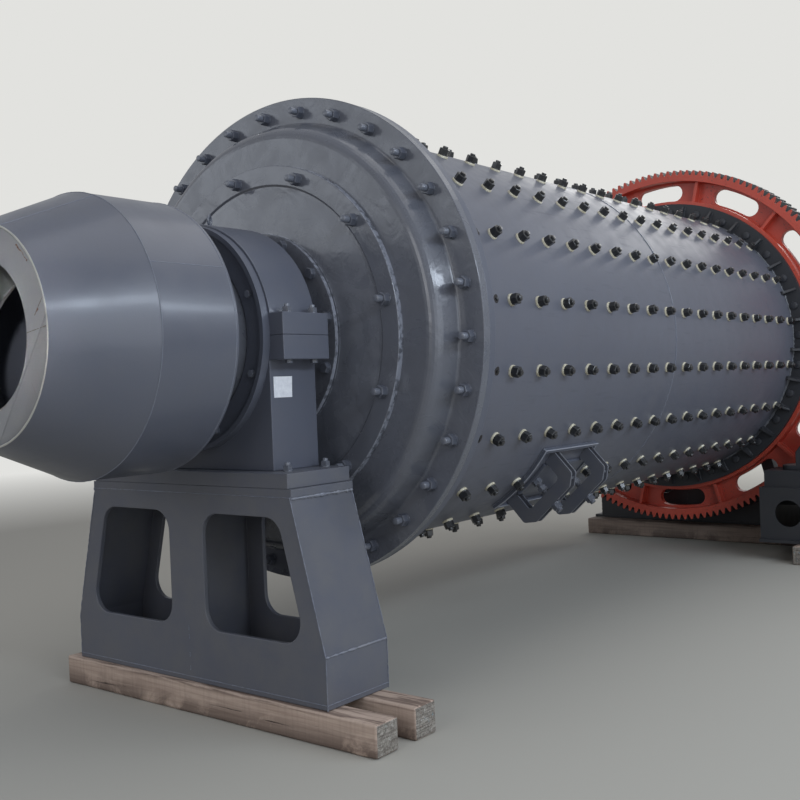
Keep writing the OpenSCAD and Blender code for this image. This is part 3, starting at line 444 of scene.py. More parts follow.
# %% Wood materials
def sawn_wood(name, along, oil=0.0):
    """Long grain that runs along X or Y. Oil darkens it."""
    material, tree, shader, coords = new_material(name)
    fibre = (2.2, 30.0, 55.0) if along == "X" else (30.0, 2.2, 55.0)
    sawing = (70.0, 6.0, 3.0) if along == "X" else (6.0, 70.0, 3.0)
    fibres = grain(tree, stretched(tree, coords, fibre), 1.0, 6.0, 0.6, 0.5)
    marks = grain(tree, stretched(tree, coords, sawing), 1.0, 3.0, 0.5)
    tone = blend(tree, window(tree, fibres, 0.28, 0.72), rgb(196, 175, 159), rgb(157, 136, 122))
    tone = blend(tree, times(tree, window(tree, marks, 0.48, 0.66), 0.12), tone, rgb(100, 84, 76))
    height = add(tree, "SeparateXYZ", {0: coords}).outputs["Z"]
    low_down = window(tree, height, 0.0, 0.100, 1.0, 0.0)
    wet = window(tree, grain(tree, coords, 3.4, 5.0, 0.65, 0.8), 0.44, 0.54)
    tone = blend(tree, times(tree, times(tree, wet, low_down), 0.80), tone, rgb(66, 50, 44))
    torn_top = times(tree, window(tree, height, 0.118, 0.130), window(tree, fibres, 0.48, 0.56))
    tone = blend(tree, times(tree, torn_top, 0.65), tone, rgb(78, 62, 54))
    cracks = grain(tree, stretched(tree, coords, tuple(v * 0.8 for v in fibre)), 1.0, 4.0, 0.7, 0.2)
    tone = blend(tree, window(tree, cracks, 0.68, 0.72), tone, rgb(44, 33, 28))
    tone = blend(tree, oil, tone, rgb(48, 42, 38))
    ridges = plus(tree, times(tree, fibres, 0.7), times(tree, marks, 0.3))
    relief = calc(tree, "SUBTRACT", ridges, window(tree, cracks, 0.66, 0.72))
    connect(tree, shader, tone, plus(tree, 0.66, times(tree, fibres, 0.2)), relief, 0.004)
    return material


wood_along_y = sawn_wood("wood_along_y", "Y")
wood_along_x = sawn_wood("wood_along_x", "X")
oily_wood = sawn_wood("oily_wood", "Y", 0.45)

# %% End grain
end_wood, tree, shader, coords = new_material("end_wood")
pores = grain(tree, coords, 70.0, 6.0, 0.75, 0.6)
rings = add(tree, "TexWave", {"Vector": stretched(tree, coords, (1.0, 1.0, 0.7), (0.4, 0.2, 0.0)), "Scale": 14.0,
                              "Distortion": 5.0, "Detail": 3.0}, wave_type="RINGS").outputs[0]
ridges = window(tree, grain(tree, stretched(tree, coords, (4.0, 4.0, 120.0), (0.0, 0.5, 0.0)), 1.0, 3.0), 0.42, 0.60)
tone = blend(tree, window(tree, pores, 0.36, 0.62), rgb(176, 170, 160), rgb(112, 105, 97))
tone = blend(tree, times(tree, window(tree, rings, 0.55, 0.9), 0.25), tone, rgb(84, 72, 64))
CHALK, LIME, RED_EARTH = rgb(112, 150, 162), rgb(206, 206, 200), rgb(128, 78, 52)
for scale, low, share, fleck in ((24.0, 0.60, 0.55, CHALK), (38.0, 0.62, 0.60, LIME), (30.0, 0.63, 0.60, RED_EARTH)):
    specks = window(tree, grain(tree, stretched(tree, coords, (1.0, 1.3, 0.9)), scale, 5.0, 0.7, 0.8), low, low + 0.06)
    tone = blend(tree, times(tree, specks, share), tone, fleck)
rough_cut = plus(tree, pores, times(tree, ridges, 0.5))
connect(tree, shader, tone, plus(tree, 0.75, times(tree, pores, 0.15)), rough_cut, 0.006)
print("four woods")

# %% [markdown]
# ## Seals, paper, painted shade and dark marks
#
# The liner bolts stand on cream seals. The empty bolt holes are painted shade: dark discs for their unlit insides.
# The cracks and the runs of rust are dark.


# %% Small plain finishes
def mottled(name, colour, other, scale, rough, depth):
    """Two colours in soft patches, on a slightly uneven surface."""
    material, tree, shader, coords = new_material(name)
    value = grain(tree, coords, scale, 5.0, 0.65)
    tone = blend(tree, window(tree, value, 0.36, 0.66), rgb(*colour), rgb(*other))
    connect(tree, shader, tone, plus(tree, rough, times(tree, value, 0.15)), value, depth)
    return material


seal_cream = mottled("seal_cream", (228, 222, 200), (176, 168, 142), 60.0, 0.20, 0.0006)
paper_white = mottled("paper_white", (226, 228, 232), (208, 210, 216), 45.0, 0.60, 0.0004)
# Painted shade: the near-black disc stands for the unlit inside of an empty hole.
hole_painted_shade = mottled("hole_painted_shade", (24, 23, 24), (46, 40, 38), 80.0, 0.60, 0.0010)
seam_dark = mottled("seam_dark", (84, 76, 68), (112, 104, 96), 60.0, 0.60, 0.0008)
rust_streak = mottled("rust_streak", (86, 52, 42), (140, 112, 98), 90.0, 0.70, 0.0008)
print("five small finishes")

# %% [markdown]
# ## Dressing the frame's own forms
#
# A plate cut from steel never has a knife edge: a small round catches the light. Plates are therefore shown by a
# copy of the node, merged, with a narrow bevel on every sharp edge. Where that bevel has a lighter paint, it is a
# painted highlight. The turned parts shade smoothly and keep their own meshes. So does the pinion's base, as a
# bevel would upset the shading around its hand holes.


# %% Softened copies
def settle(name, bm, body, material, sharp=32.0):
    """Makes a bmesh a finished piece: normals out, smooth but for sharp edges, riding on its body."""
    bmesh.ops.recalc_face_normals(bm, faces=bm.faces)
    mesh = bpy.data.meshes.new(name)
    bm.to_mesh(mesh)
    bm.free()
    for entry in material if isinstance(material, list) else [material]:
        mesh.materials.append(entry)
    mesh.polygons.foreach_set("use_smooth", [True] * len(mesh.polygons))
    mesh.set_sharp_from_angle(angle=math.radians(sharp))
    piece = bpy.data.objects.new(name, mesh)
    link(piece)
    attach(piece, body)
    return piece


def round_edges(piece, width, edge_slot):
    """Adds a bevel on the sharp edges."""
    bevel = piece.modifiers.new("rounded_edges", "BEVEL")
    bevel.material = edge_slot
    bevel.width, bevel.segments = width, 2
    bevel.limit_method, bevel.angle_limit = "ANGLE", math.radians(40.0)
    bevel.harden_normals = True
    return piece


def softened(name, body, material, slot, width, edge=None):
    """A copy of a node with rounded plate edges, shown in its place. Lighter edges are a painted highlight."""
    bm = bmesh.new()
    bm.from_mesh(nodes[name].data)
    bmesh.ops.remove_doubles(bm, verts=bm.verts, dist=1e-5)
    bmesh.ops.dissolve_limit(bm, angle_limit=math.radians(0.15), verts=bm.verts, edges=bm.edges)
    piece = settle(name + "_plates", bm, body, [material, edge] if edge else material)
    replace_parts(round_edges(piece, width, 1 if edge else -1), name)


# %% Which node has which finish
MILL, DARK = "mill_paint", "charcoal_paint"
HOUSING_PLATES = {"pedestal": plate_paint, "sole_plate": plate_paint, "bearing_base": mill_paint,
                  "bearing_cap": mill_paint}
for part, paint in HOUSING_PLATES.items():
    softened("feed_" + part, "root", paint, MILL, 0.004)
for part in HOUSING_PLATES:
    softened("discharge_" + part, "root", charcoal, DARK, 0.004)
for name in ("pinion_front_bearing", "pinion_rear_bearing"):
    softened(name, "root", charcoal, DARK, 0.005)
# A fourth entry, where given, is the lighter edge paint: a painted highlight on the rounded edges.
DRUM_PLATES = {
    "feed_shell_flange": (mill_paint, MILL, 0.003), "gear_shell_flange": (charcoal, DARK, 0.003, pale_charcoal_and_highlight),
    "girth_gear": (gear_paint, "gear_paint", 0.003), "manhole_frame": (mill_paint, MILL, 0.004, edge_highlight_paint),
    "manhole_door": (mill_paint, MILL, 0.003), "manhole_feed_bridge": (plate_paint, MILL, 0.0035, edge_highlight_paint),
    "manhole_gear_bridge": (plate_paint, MILL, 0.0035, edge_highlight_paint),
}
for name, finish in DRUM_PLATES.items():
    softened(name, "drum", *finish)
OWN_MESH = {
    mill_paint: ["feed_end_cover"], feeder_paint: ["feeder_back_plate", "feeder_drum", "feeder_cone"],
    shell_paint: ["shell"], head_paint: ["feed_head", "feed_trunnion", "feed_seal_ring"],
    charcoal: ["pinion_base", "discharge_end_cover", "discharge_head", "discharge_trunnion", "discharge_seal_ring"],
    primer: ["feeder_mouth", "feeder_scoop", "feeder_spiral"], liner_steel: ["shell_liner"],
    bush_bronze: ["feed_bearing_bush", "discharge_bearing_bush"],
    pinion_steel: ["pinion_gear"], oiled_steel: ["pinion_shaft"],
}
for material, names in OWN_MESH.items():
    for name in names:
        for entry in nodes[name].material_slots:
            entry.material = material
print(len(nodes), "nodes have a finish")

# %% [markdown]
# ## Timbers
#
# Each baulk starts as a box cut into short lengths, loses its corners in a bevel, and is then dented a little by
# noise, always inwards, so that it stays within its node.

# %% Worn timbers
CUT_LENGTH, CORNER_WIDTH, DENT_DEPTH, CHEW_DEPTH = 0.05, 0.010, 0.0025, 0.010


def worn_timber(name, along, long_wood):
    """A baulk with broken corners, shown in place of the plain one."""
    low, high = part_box(name)
    size, middle = high - low, (low + high) / 2
    bm = bmesh.new()
    bmesh.ops.create_cube(bm, size=1.0)
    bmesh.ops.scale(bm, vec=size, verts=bm.verts)
    bmesh.ops.translate(bm, vec=middle, verts=bm.verts)
    axis = Vector((1, 0, 0)) if along == "X" else Vector((0, 1, 0))
    for k in range(1, int(size.dot(axis) / CUT_LENGTH)):
        geom = bm.verts[:] + bm.edges[:] + bm.faces[:]
        bmesh.ops.bisect_plane(bm, geom=geom, plane_co=low + axis * (k * CUT_LENGTH), plane_no=axis)
    corners = [e for e in bm.edges if e.calc_face_angle(0.0) > 1.0]
    bmesh.ops.bevel(bm, geom=corners, offset=CORNER_WIDTH, segments=3, profile=0.5, affect="EDGES", material=-1)
    for v in bm.verts:
        dent = 0.5 + 0.5 * noise.noise(v.co * 9.0 + Vector((7.0, 3.0, 1.0)))
        chew = max(0.0, noise.noise(v.co * 3.0 + Vector((2.0, 9.0, 4.0))) - 0.2)
        inward = middle - v.co
        inward -= axis * inward.dot(axis)
        v.co += inward.normalized() * (DENT_DEPTH * dent + CHEW_DEPTH * chew)
    for face in bm.faces:
        face.material_index = 1 if abs(face.normal.dot(axis)) > 0.9 else 0
    piece = settle(name + "_baulk", bm, "root", [long_wood, end_wood], 50.0)
    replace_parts(piece, name)


for name, along_axis, wood in (
        ("feed_front_timber", "Y", wood_along_y), ("feed_rear_timber", "Y", wood_along_y),
        ("discharge_front_timber", "Y", oily_wood), ("discharge_rear_timber", "Y", oily_wood),
        ("drive_near_timber", "X", wood_along_x), ("drive_far_timber", "X", wood_along_x)):
    worn_timber(name, along_axis, wood)
print("six timbers")

# %% [markdown]
# ## Bolts
#
# The mill wears about five hundred bolts. Each fitting is modelled once, standing at the origin with its seat on the
# level, and then set many times into one mesh, so it has only a few dozen faces.

# %% Fittings
FLATS_TO_RADIUS = 1.732


def prism(sides, radius, height, broken, steps):
    """An upright prism on the level, with its upper edges broken."""
    bm = bmesh.new()
    bmesh.ops.create_cone(bm, cap_ends=True, segments=sides, radius1=radius, radius2=radius, depth=height)
    bmesh.ops.translate(bm, vec=(0, 0, height / 2), verts=bm.verts)
    crown = [e for e in bm.edges if min(v.co.z for v in e.verts) > height * 0.9]
    bmesh.ops.bevel(bm, geom=crown, offset=broken, segments=steps, profile=0.5, affect="EDGES", material=-1)
    return bm


def hex_nut(across, height):
    return prism(6, across / FLATS_TO_RADIUS, height, across * 0.06, 1)


def disc(radius, height, sides=18, edge=0.25):
    """A washer, a stud end or a flat head."""
    return prism(sides, radius, height, min(edge * height, radius * 0.3), 2)


def raised(bm, height):
    bmesh.ops.translate(bm, vec=(0, 0, height), verts=bm.verts)
    return bm


def second_finish(bm):
    """Marks a fitting for the second material of the piece that it goes into."""
    for face in bm.faces:
        face.material_index = 1
    return bm


# %% Setting them out
def stacked(*parts):
    """One template mesh from several fittings."""
    whole = bmesh.new()
    for part in parts:
        mesh = bpy.data.meshes.new("part")
        part.to_mesh(mesh)
        part.free()
        whole.from_mesh(mesh)
        bpy.data.meshes.remove(mesh)
    mesh = bpy.data.meshes.new("template")
    whole.to_mesh(mesh)
    whole.free()
    return mesh


def standing(point, direction, turn=0.0):
    """The matrix that stands a fitting on a point, with its Z axis along a direction."""
    facing = direction.to_track_quat("Z", "Y").to_matrix().to_4x4()
    return Matrix.Translation(point) @ facing @ Matrix.Rotation(turn, 4, "Z")


def set_out(name, template, places, body, material):
    """Sets a template at every place, as one piece."""
    bm = bmesh.new()
    for matrix in places:
        start = len(bm.verts)
        bm.from_mesh(template)
        bm.verts.ensure_lookup_table()
        bmesh.ops.transform(bm, matrix=matrix, verts=bm.verts[start:])
    piece = settle(name, bm, body, material)
    print(f"{name}: {len(places)} set out, {len(piece.data.polygons)} faces")


# %% [markdown]
# ## Liner bolts
#
# Twenty rows of bolts run along the shell, one over each lifting bar, with 250 mm between bolts. A bolt shows as a
# cream seal, a black cup washer, a black nut and the end of its stud. There are none at the manhole's door, and near
# the feed flange each row has one empty hole.

# %% Liner bolts
LINER_ROWS, ROW_TURN, ROW_BOLTS = 20, 7.25, 17
LINER_PITCH, LINER_FIRST, HOLE_BEFORE = 0.25, shell_low.x + 0.390, 0.128
SEAL, CUP, NUT, STUD = (0.0302, 0.012), (0.0270, 0.006), (0.048, 0.030), (0.0145, 0.012)
DOOR, CLEAR_X, CLEAR_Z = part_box("manhole_door"), 0.04, 0.05
draw = random.Random(11)
row_turns = [ROW_TURN + row * 360 / LINER_ROWS for row in range(LINER_ROWS)]
bolt_places = []
for degrees in row_turns:
    for k in range(ROW_BOLTS):
        station = LINER_FIRST + k * LINER_PITCH
        spot = on_mill(station, SHELL_R - 0.001, degrees)
        at_door = DOOR[0].x - CLEAR_X < station < DOOR[1].x + CLEAR_X
        if at_door and spot.y < AXIS_Y and DOOR[0].z - CLEAR_Z < spot.z < DOOR[1].z + CLEAR_Z:
            continue
        bolt_places.append(standing(spot, outwards(degrees), draw.uniform(0.0, 1.0)))
set_out("liner_seals", stacked(disc(*SEAL, 20, 0.5)), bolt_places, "drum", seal_cream)
liner_bolt = stacked(raised(disc(*CUP, 16, 0.5), 0.011), raised(hex_nut(*NUT), 0.016), raised(disc(*STUD, 10), 0.046))
set_out("liner_nuts", liner_bolt, bolt_places, "drum", black_bolt)


# %% [markdown]
# An empty hole was burnt out, so its outline is ragged, and the stump of a stud shows in it. It is drawn as a thin
# dark disc on the shell, with a small stump on top. The disc's dark colour is painted shade for the hole's unlit
# inside.

# %% Empty bolt holes
def ragged_hole(radius):
    """A thin disc whose outline wavers."""
    bm = bmesh.new()
    bmesh.ops.create_cone(bm, cap_ends=True, segments=18, radius1=radius, radius2=radius * 0.94, depth=0.0018)
    for v in bm.verts:
        v.co.xy *= 1.0 + 0.30 * noise.noise(Vector((v.co.x, v.co.y, 0.0)) * 60.0)
    return bm


hole_places = [standing(on_mill(LINER_FIRST - HOLE_BEFORE, SHELL_R - 0.0005, degrees), outwards(degrees))
               for degrees in row_turns]
empty_hole = stacked(ragged_hole(0.021), raised(second_finish(disc(0.008, 0.007, 8)), 0.0005))
set_out("empty_holes", empty_hole, hole_places, "drum", [hole_painted_shade, black_bolt])

# %% [markdown]
# ## Flange bolts
#
# The heads are held by thirty bolts each and the trunnions by twelve, with painted nuts and stud ends outwards. The
# flange at the gear end shows the round heads of its bolts, one between each two gussets.


# %% Rings of bolts
def ring_of(station, radius, count, first, facing):
    """Places on a circle about the axis, looking along -X or +X, each nut turned a little by chance."""
    direction = Vector((facing, 0.0, 0.0))
    return [standing(on_mill(station, radius, first + k * 360 / count), direction, draw.uniform(0.0, 1.0))
            for k in range(count)]


M30 = stacked(disc(0.030, 0.006), raised(hex_nut(0.051, 0.033), 0.006),
              raised(second_finish(disc(0.0165, 0.036, 12)), 0.038))
M30_HEAD = stacked(disc(0.027, 0.005), raised(hex_nut(0.046, 0.021), 0.005))
M24 = stacked(disc(0.023, 0.004, 16), raised(hex_nut(0.037, 0.021), 0.004),
              raised(second_finish(disc(0.012, 0.014, 10)), 0.024))
M20 = stacked(disc(0.018, 0.003, 16), raised(hex_nut(0.030, 0.013), 0.003))
ROUND_HEAD = stacked(disc(0.030, 0.016, 18, 0.45))
MILL_STUDS, DARK_STUDS = [bolt_paint, stud_paint], [charcoal_bolt, pale_charcoal_and_highlight]
HEAD_RING, FLANGE_RING, TRUNNION_RING, SEAL_RING = (1.118, 30), (1.113, 30), (0.790, 12), (0.478, 13)
for name, fitting, station, ring, first, facing, finish, slot in (
        ("feed_head_nuts", M30, FEED_FLANGE[0].x - HEAD_FLANGE_T, HEAD_RING, 9.7, -1, MILL_STUDS, MILL),
        ("feed_trunnion_nuts", M30, FEED_HEAD[0].x - TRUNNION_PROUD, TRUNNION_RING, 10.07, -1, MILL_STUDS, MILL),
        ("feed_seal_bolts", M30_HEAD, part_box("feed_seal_ring")[0].x, SEAL_RING, 9.3, -1, bolt_paint, MILL),
        ("gear_flange_heads", ROUND_HEAD, GEAR_FLANGE_FACE, FLANGE_RING, 1.4, -1, charcoal_bolt, DARK),
        ("gear_head_nuts", M30, GEAR_HEAD[0].x + HEAD_FLANGE_T, HEAD_RING, 1.4, 1, DARK_STUDS, DARK),
        ("discharge_trunnion_nuts", M30, GEAR_HEAD[1].x + TRUNNION_PROUD, TRUNNION_RING, 10.07, 1, DARK_STUDS, DARK),
        ("discharge_seal_bolts", M30_HEAD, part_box("discharge_seal_ring")[1].x, SEAL_RING, 9.3, 1, charcoal_bolt, DARK)):
    set_out(name, fitting, ring_of(station, *ring, first, facing), "drum", finish)

# %% [markdown]
# ## Bearing fittings
#
# Two studs in each lug pull the cap down on the lower housing, and nuts at the corners hold that on the sole plate.
# Eight small bolts hold each end cover. The cap is lifted by an eyebolt: a small circle spun about the ring's middle.

# %% The eyebolt
def eyebolt(ring_r, wire_r, collar_h):
    """A ring of wire standing on a collar."""
    bm = bmesh.new()
    bmesh.ops.create_circle(bm, segments=10, radius=wire_r, matrix=Matrix.Translation((ring_r, 0, 0)))
    bmesh.ops.spin(bm, geom=bm.verts[:] + bm.edges[:], cent=(0, 0, 0), axis=(0, 1, 0), angle=math.tau, steps=24,
                   use_merge=True)
    return [disc(wire_r * 1.9, collar_h, 16), raised(bm, collar_h + ring_r)]


# %% Bearing bolts
UP, DOWN = Vector((0, 0, 1)), Vector((0, 0, -1))
LUG_UP, LUG_DOWN = 0.096, 0.105
LUG_STUD_X, LUG_STUD_Y, CORNER_X, CORNER_Y = 0.078, 0.555, 0.117, 0.560
COVER_DEPTH, COVER_PLATE, COVER_RING = 0.040, 0.016, (0.445, 8, 22.5)
for end, finish, slot, facing in (("feed", MILL_STUDS, MILL, -1), ("discharge", DARK_STUDS, DARK, 1)):
    cap_low, cap_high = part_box(end + "_bearing_cap")
    base_top, sole_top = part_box(end + "_bearing_base")[1].z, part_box(end + "_sole_plate")[1].z
    middle = (cap_low.x + cap_high.x) / 2
    for kind, fitting, dx, dy, height, way, turn, look in (
            ("lug_nuts", M24, LUG_STUD_X, LUG_STUD_Y, cap_low.z + LUG_UP, UP, 0.4, finish),
            ("lug_heads", M20, LUG_STUD_X, LUG_STUD_Y, base_top - LUG_DOWN, DOWN, 0.2, finish[0]),
            ("hold_down_nuts", M24, CORNER_X, CORNER_Y, sole_top, UP, 0.3, finish)):
        places = [standing((middle + x, AXIS_Y + side * dy, height), way, turn) for x in (-dx, dx) for side in (-1, 1)]
        set_out(f"{end}_{kind}", fitting, places, "root", look)
    cover_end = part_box(end + "_end_cover")[facing > 0].x
    cover_face = cover_end - facing * (COVER_DEPTH - COVER_PLATE)
    set_out(end + "_cover_bolts", M20, ring_of(cover_face, *COVER_RING, facing), "root", finish[1])
    cap_top = standing((middle, AXIS_Y, cap_high.z - 0.001), UP, 0.6)
    set_out(end + "_cap_eyebolt", stacked(*eyebolt(0.024, 0.0065, 0.010)), [cap_top], "root", finish[1])

# %% [markdown]
# ## Weld beads
#
# A weld is a low ridge that never runs quite even. A curve follows the seam with a wavering radius, and the tube
# around it is sunk half into the plates. It is then made a mesh.


# %% The weld maker
def along(*corners, pitch=0.012):
    """Points along straight runs between corners."""
    corners = [Vector(corner) for corner in corners]
    points = []
    for a, b in zip(corners, corners[1:]):
        count = max(2, int((b - a).length / pitch))
        points += [a.lerp(b, k / count) for k in range(count)]
    return points + corners[-1:]


def hoop(station, radius, pitch=0.014):
    """Points all around the axis."""
    count = int(math.tau * radius / pitch)
    return [on_mill(station, radius, 360.0 * k / count) for k in range(count)]


def weld(name, paths, size, body, material, slot, uneven, closed=False):
    """A bead of that half width along every path."""
    curve = bpy.data.curves.new(name, "CURVE")
    curve.dimensions, curve.bevel_depth, curve.bevel_resolution = "3D", size, 1
    curve.use_fill_caps = not closed
    for path in paths:
        spline = curve.splines.new("POLY")
        spline.points.add(len(path) - 1)
        spline.use_cyclic_u = closed
        for point, spot in zip(spline.points, path):
            point.co = (*spot, 1.0)
            point.radius = 1.0 + draw.uniform(-uneven, uneven)
    holder = bpy.data.objects.new(name, curve)
    link(holder)
    bpy.context.view_layer.update()
    mesh = bpy.data.meshes.new_from_object(holder.evaluated_get(bpy.context.evaluated_depsgraph_get()))
    bm = bmesh.new()
    bm.from_mesh(mesh)
    bpy.data.objects.remove(holder)
    bpy.data.meshes.remove(mesh)
    bmesh.ops.remove_doubles(bm, verts=bm.verts, dist=1e-6)
    piece = settle(name, bm, body, material, 80.0)
    print(f"{name}: {len(paths)} beads, {len(piece.data.polygons)} faces")


# %% [markdown]
# The shell is rolled in two courses, so one ring weld runs round it. The shell flanges are welded on, and the feeder
# is rolled from a drum and a cone, each with a long seam.

# %% Welds on the shell and the feeder
COURSE_END, FEEDER_R, DRUM_SEAM, CONE_SEAM = shell_low.x + 2.250, 0.585, 26.0, 70.0
FEEDER_BACK, FEEDER_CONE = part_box("feeder_back_plate"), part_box("feeder_cone")
# The lighter weld paint on these beads is a painted highlight.
SLATE_WELD = ("drum", weld_highlight_paint, MILL)
weld("shell_ring_weld", [hoop(COURSE_END, SHELL_R)], 0.0034, *SLATE_WELD, 0.35, True)
weld("flange_welds", [hoop(FEED_FLANGE[1].x, SHELL_R + 0.001)], 0.014, *SLATE_WELD, 0.10, True)
seams = [hoop(FEEDER_CONE[1].x, FEEDER_R - 0.0003), hoop(FEEDER_BACK[1].x - 0.012, FEEDER_R - 0.0008)]
weld("feeder_ring_welds", seams, 0.0026, *SLATE_WELD, 0.25, True)
long_seams = [along(on_mill(FEEDER_CONE[1].x, FEEDER_R - 0.0005, DRUM_SEAM),
                    on_mill(FEEDER_BACK[0].x, FEEDER_R - 0.0005, DRUM_SEAM)),
              along(on_mill(FEEDER_CONE[1].x, FEEDER_R - 0.0005, CONE_SEAM),
                    on_mill(FEEDER_CONE[0].x, MOUTH_R - 0.0005, CONE_SEAM))]
weld("feeder_long_welds", long_seams, 0.0020, *SLATE_WELD, 0.25)

# %% [markdown]
# The mouth's plate is welded in round its rim and along the folded edge of the scoop. The primer has cracked over two
# joints on it, and rust has run from two spots.

# %% Beads, cracks and rust on the mouth
SCOOP_TURN, SCOOP_EDGE = -36.7, 0.2972
rim_seam = hoop(MOUTH_X + 0.0015, MOUTH_R - 0.0055, pitch=0.026)
weld("mouth_weld", [rim_seam], 0.0050, "drum", pale_primer, "primer", 0.12, True)
fold = [on_mill(MOUTH_X + 0.0035, SCOOP_EDGE / math.cos(math.radians(k)), SCOOP_TURN + k) for k in range(-43, 44)]
weld("scoop_weld", [fold], 0.0056, "drum", primer, "primer", 0.0)
cracks = [along(on_mill(MOUTH_X, 0.294, -0.7), on_mill(MOUTH_X, 0.416, 1.9), pitch=0.006),
          along(on_mill(MOUTH_X, 0.352, 9.4), on_mill(MOUTH_X, 0.420, 16.6), pitch=0.006)]
weld("mouth_cracks", cracks, 0.0013, "drum", seam_dark, "primer", 0.60)
streaks = [[on_mill(MOUTH_X + 0.0008, 0.402 + 0.002 * math.sin(degrees), degrees) for degrees in range(39, 53)],
           along(on_mill(MOUTH_X + 0.0008, 0.350, 9.0), on_mill(MOUTH_X + 0.0008, 0.378, 12.0), pitch=0.006)]
weld("mouth_streaks", streaks, 0.0030, "drum", rust_streak, "primer", 0.70)

# %% [markdown]
# Thirty gussets brace the flange at the gear end. Each is welded on both sides, along the shell and up the flange.

# %% Welds at the gear end
GUSSET_TURN, GUSSET_STEP, GUSSET_SIDE = 7.4, 12, 0.54
GUSSET_END, GUSSET_HEIGHT = GEAR_FLANGE[1].x - 0.113, 0.096
gusset_welds = []
for k in range(30):
    for side in (-1, 1):
        degrees = GUSSET_TURN + k * GUSSET_STEP + side * GUSSET_SIDE
        foot = on_mill(GEAR_FLANGE_FACE, SHELL_R + 0.003, degrees)
        gusset_welds.append(along(on_mill(GUSSET_END, SHELL_R + 0.003, degrees), foot))
        gusset_welds.append(along(foot, on_mill(GEAR_FLANGE_FACE - 0.001, SHELL_R + GUSSET_HEIGHT, degrees)))
weld("gusset_welds", gusset_welds, 0.006, "drum", charcoal_bolt, DARK, 0.35)
flange_seam = hoop(GEAR_FLANGE_FACE, SHELL_R + 0.001)
# Painted highlight: the pale charcoal on this bead.
weld("gear_flange_weld", [flange_seam], 0.009, "drum", pale_charcoal_and_highlight, DARK, 0.45, True)

# %% [markdown]
# A pedestal is a box: two plates with windows and two bent ends, welded along every edge. A broad bead fills the
# corner under the top plate, where it stands out past the ends. The web is plug-welded through the front plate.

# %% Welds on the pedestals
HALF_FOOT, HALF_TOP, KNEE_UP, TOP_PLATE, FOOT_PLATE = 0.832, 0.665, 0.214, 0.035, 0.022
PLUGS_UP, PLUG_LENGTH = (0.05, 0.11, 0.19, 0.23), 0.02


def pedestal_welds(end, fine, broad, slot):
    """The seams, the bands at the knees, the fills under the top plate and the plugs of one pedestal."""
    x_in, x_out = (corner.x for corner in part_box(end + "_sole_plate"))
    box_low, box_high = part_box(end + "_pedestal")
    foot, knee, top = box_low.z, box_low.z + KNEE_UP, box_high.z - TOP_PLATE
    seams, bands, fills, plugs = [], [], [], []
    for side in (-1, 1):
        wide, narrow = AXIS_Y + side * HALF_FOOT, AXIS_Y + side * HALF_TOP
        for x in (x_in, x_out):
            seams.append(along((x, wide, foot), (x, wide, knee), (x, narrow, top)))
        bands.append(along((x_in, wide, knee), (x_out, wide, knee)))
        seams.append(along((x_in, wide, foot + FOOT_PLATE), (x_out, wide, foot + FOOT_PLATE)))
        under = narrow + side * 0.003
        fills.append(along((x_in, under, top - 0.004), (x_out, under, top - 0.004), pitch=0.009))
    for x in (x_in, x_out):
        for half, z in ((HALF_FOOT, foot + FOOT_PLATE), (HALF_TOP, top)):
            seams.append(along((x, AXIS_Y - half, z), (x, AXIS_Y + half, z)))
        for up in PLUGS_UP:
            plugs.append(along((x, AXIS_Y, foot + up), (x, AXIS_Y, foot + up + PLUG_LENGTH), pitch=0.005))
    for kind, paths, size, finish, uneven in (
            ("pedestal_welds", seams, 0.0022, fine, 0.50), ("knee_welds", bands, 0.0042, broad, 0.55),
            ("corner_welds", fills, 0.0080, broad, 0.40), ("web_plugs", plugs, 0.0022, fine, 0.35)):
        weld(f"{end}_{kind}", paths, size, "root", finish, slot, uneven)


# Painted highlight: the lighter paints on the beads at both ends.
pedestal_welds("feed", weld_highlight_paint, broad_weld_highlight, MILL)
pedestal_welds("discharge", charcoal_bolt, pale_charcoal_and_highlight, DARK)

# %% [markdown]
# ## Manhole clamps
#
# Each bridge holds the door by one stud, with a nut outside the bridge and two between the bridge and the door.

# %% Manhole fittings
MANHOLE_DIP, BRIDGE_H, DOOR_T, NUT_STEP = -47.0, 0.184, 0.0165, 0.046
outer_places, inner_places = [], []
for name in ("manhole_feed_bridge", "manhole_gear_bridge"):
    low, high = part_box(name)
    middle, facing = (low.x + high.x) / 2, outwards(MANHOLE_DIP)
    outer_places.append(standing(on_mill(middle, SHELL_R + BRIDGE_H, MANHOLE_DIP), facing, 0.3))
    inner_places.append(standing(on_mill(middle, SHELL_R + DOOR_T, MANHOLE_DIP), facing, 0.7))
    inner_places.append(standing(on_mill(middle, SHELL_R + DOOR_T + NUT_STEP, MANHOLE_DIP), facing, 0.2))
bridge_nut = stacked(disc(0.031, 0.006), raised(hex_nut(0.048, 0.026), 0.006))
set_out("manhole_nuts", bridge_nut, outer_places, "drum", bolt_paint)
set_out("manhole_door_nuts", stacked(hex_nut(0.046, 0.026)), inner_places, "drum", stud_paint)


# %% [markdown]
# ## Paper slip
#
# A blank slip of paper is stuck to the side of the lower feed housing, slightly lifted at one corner.

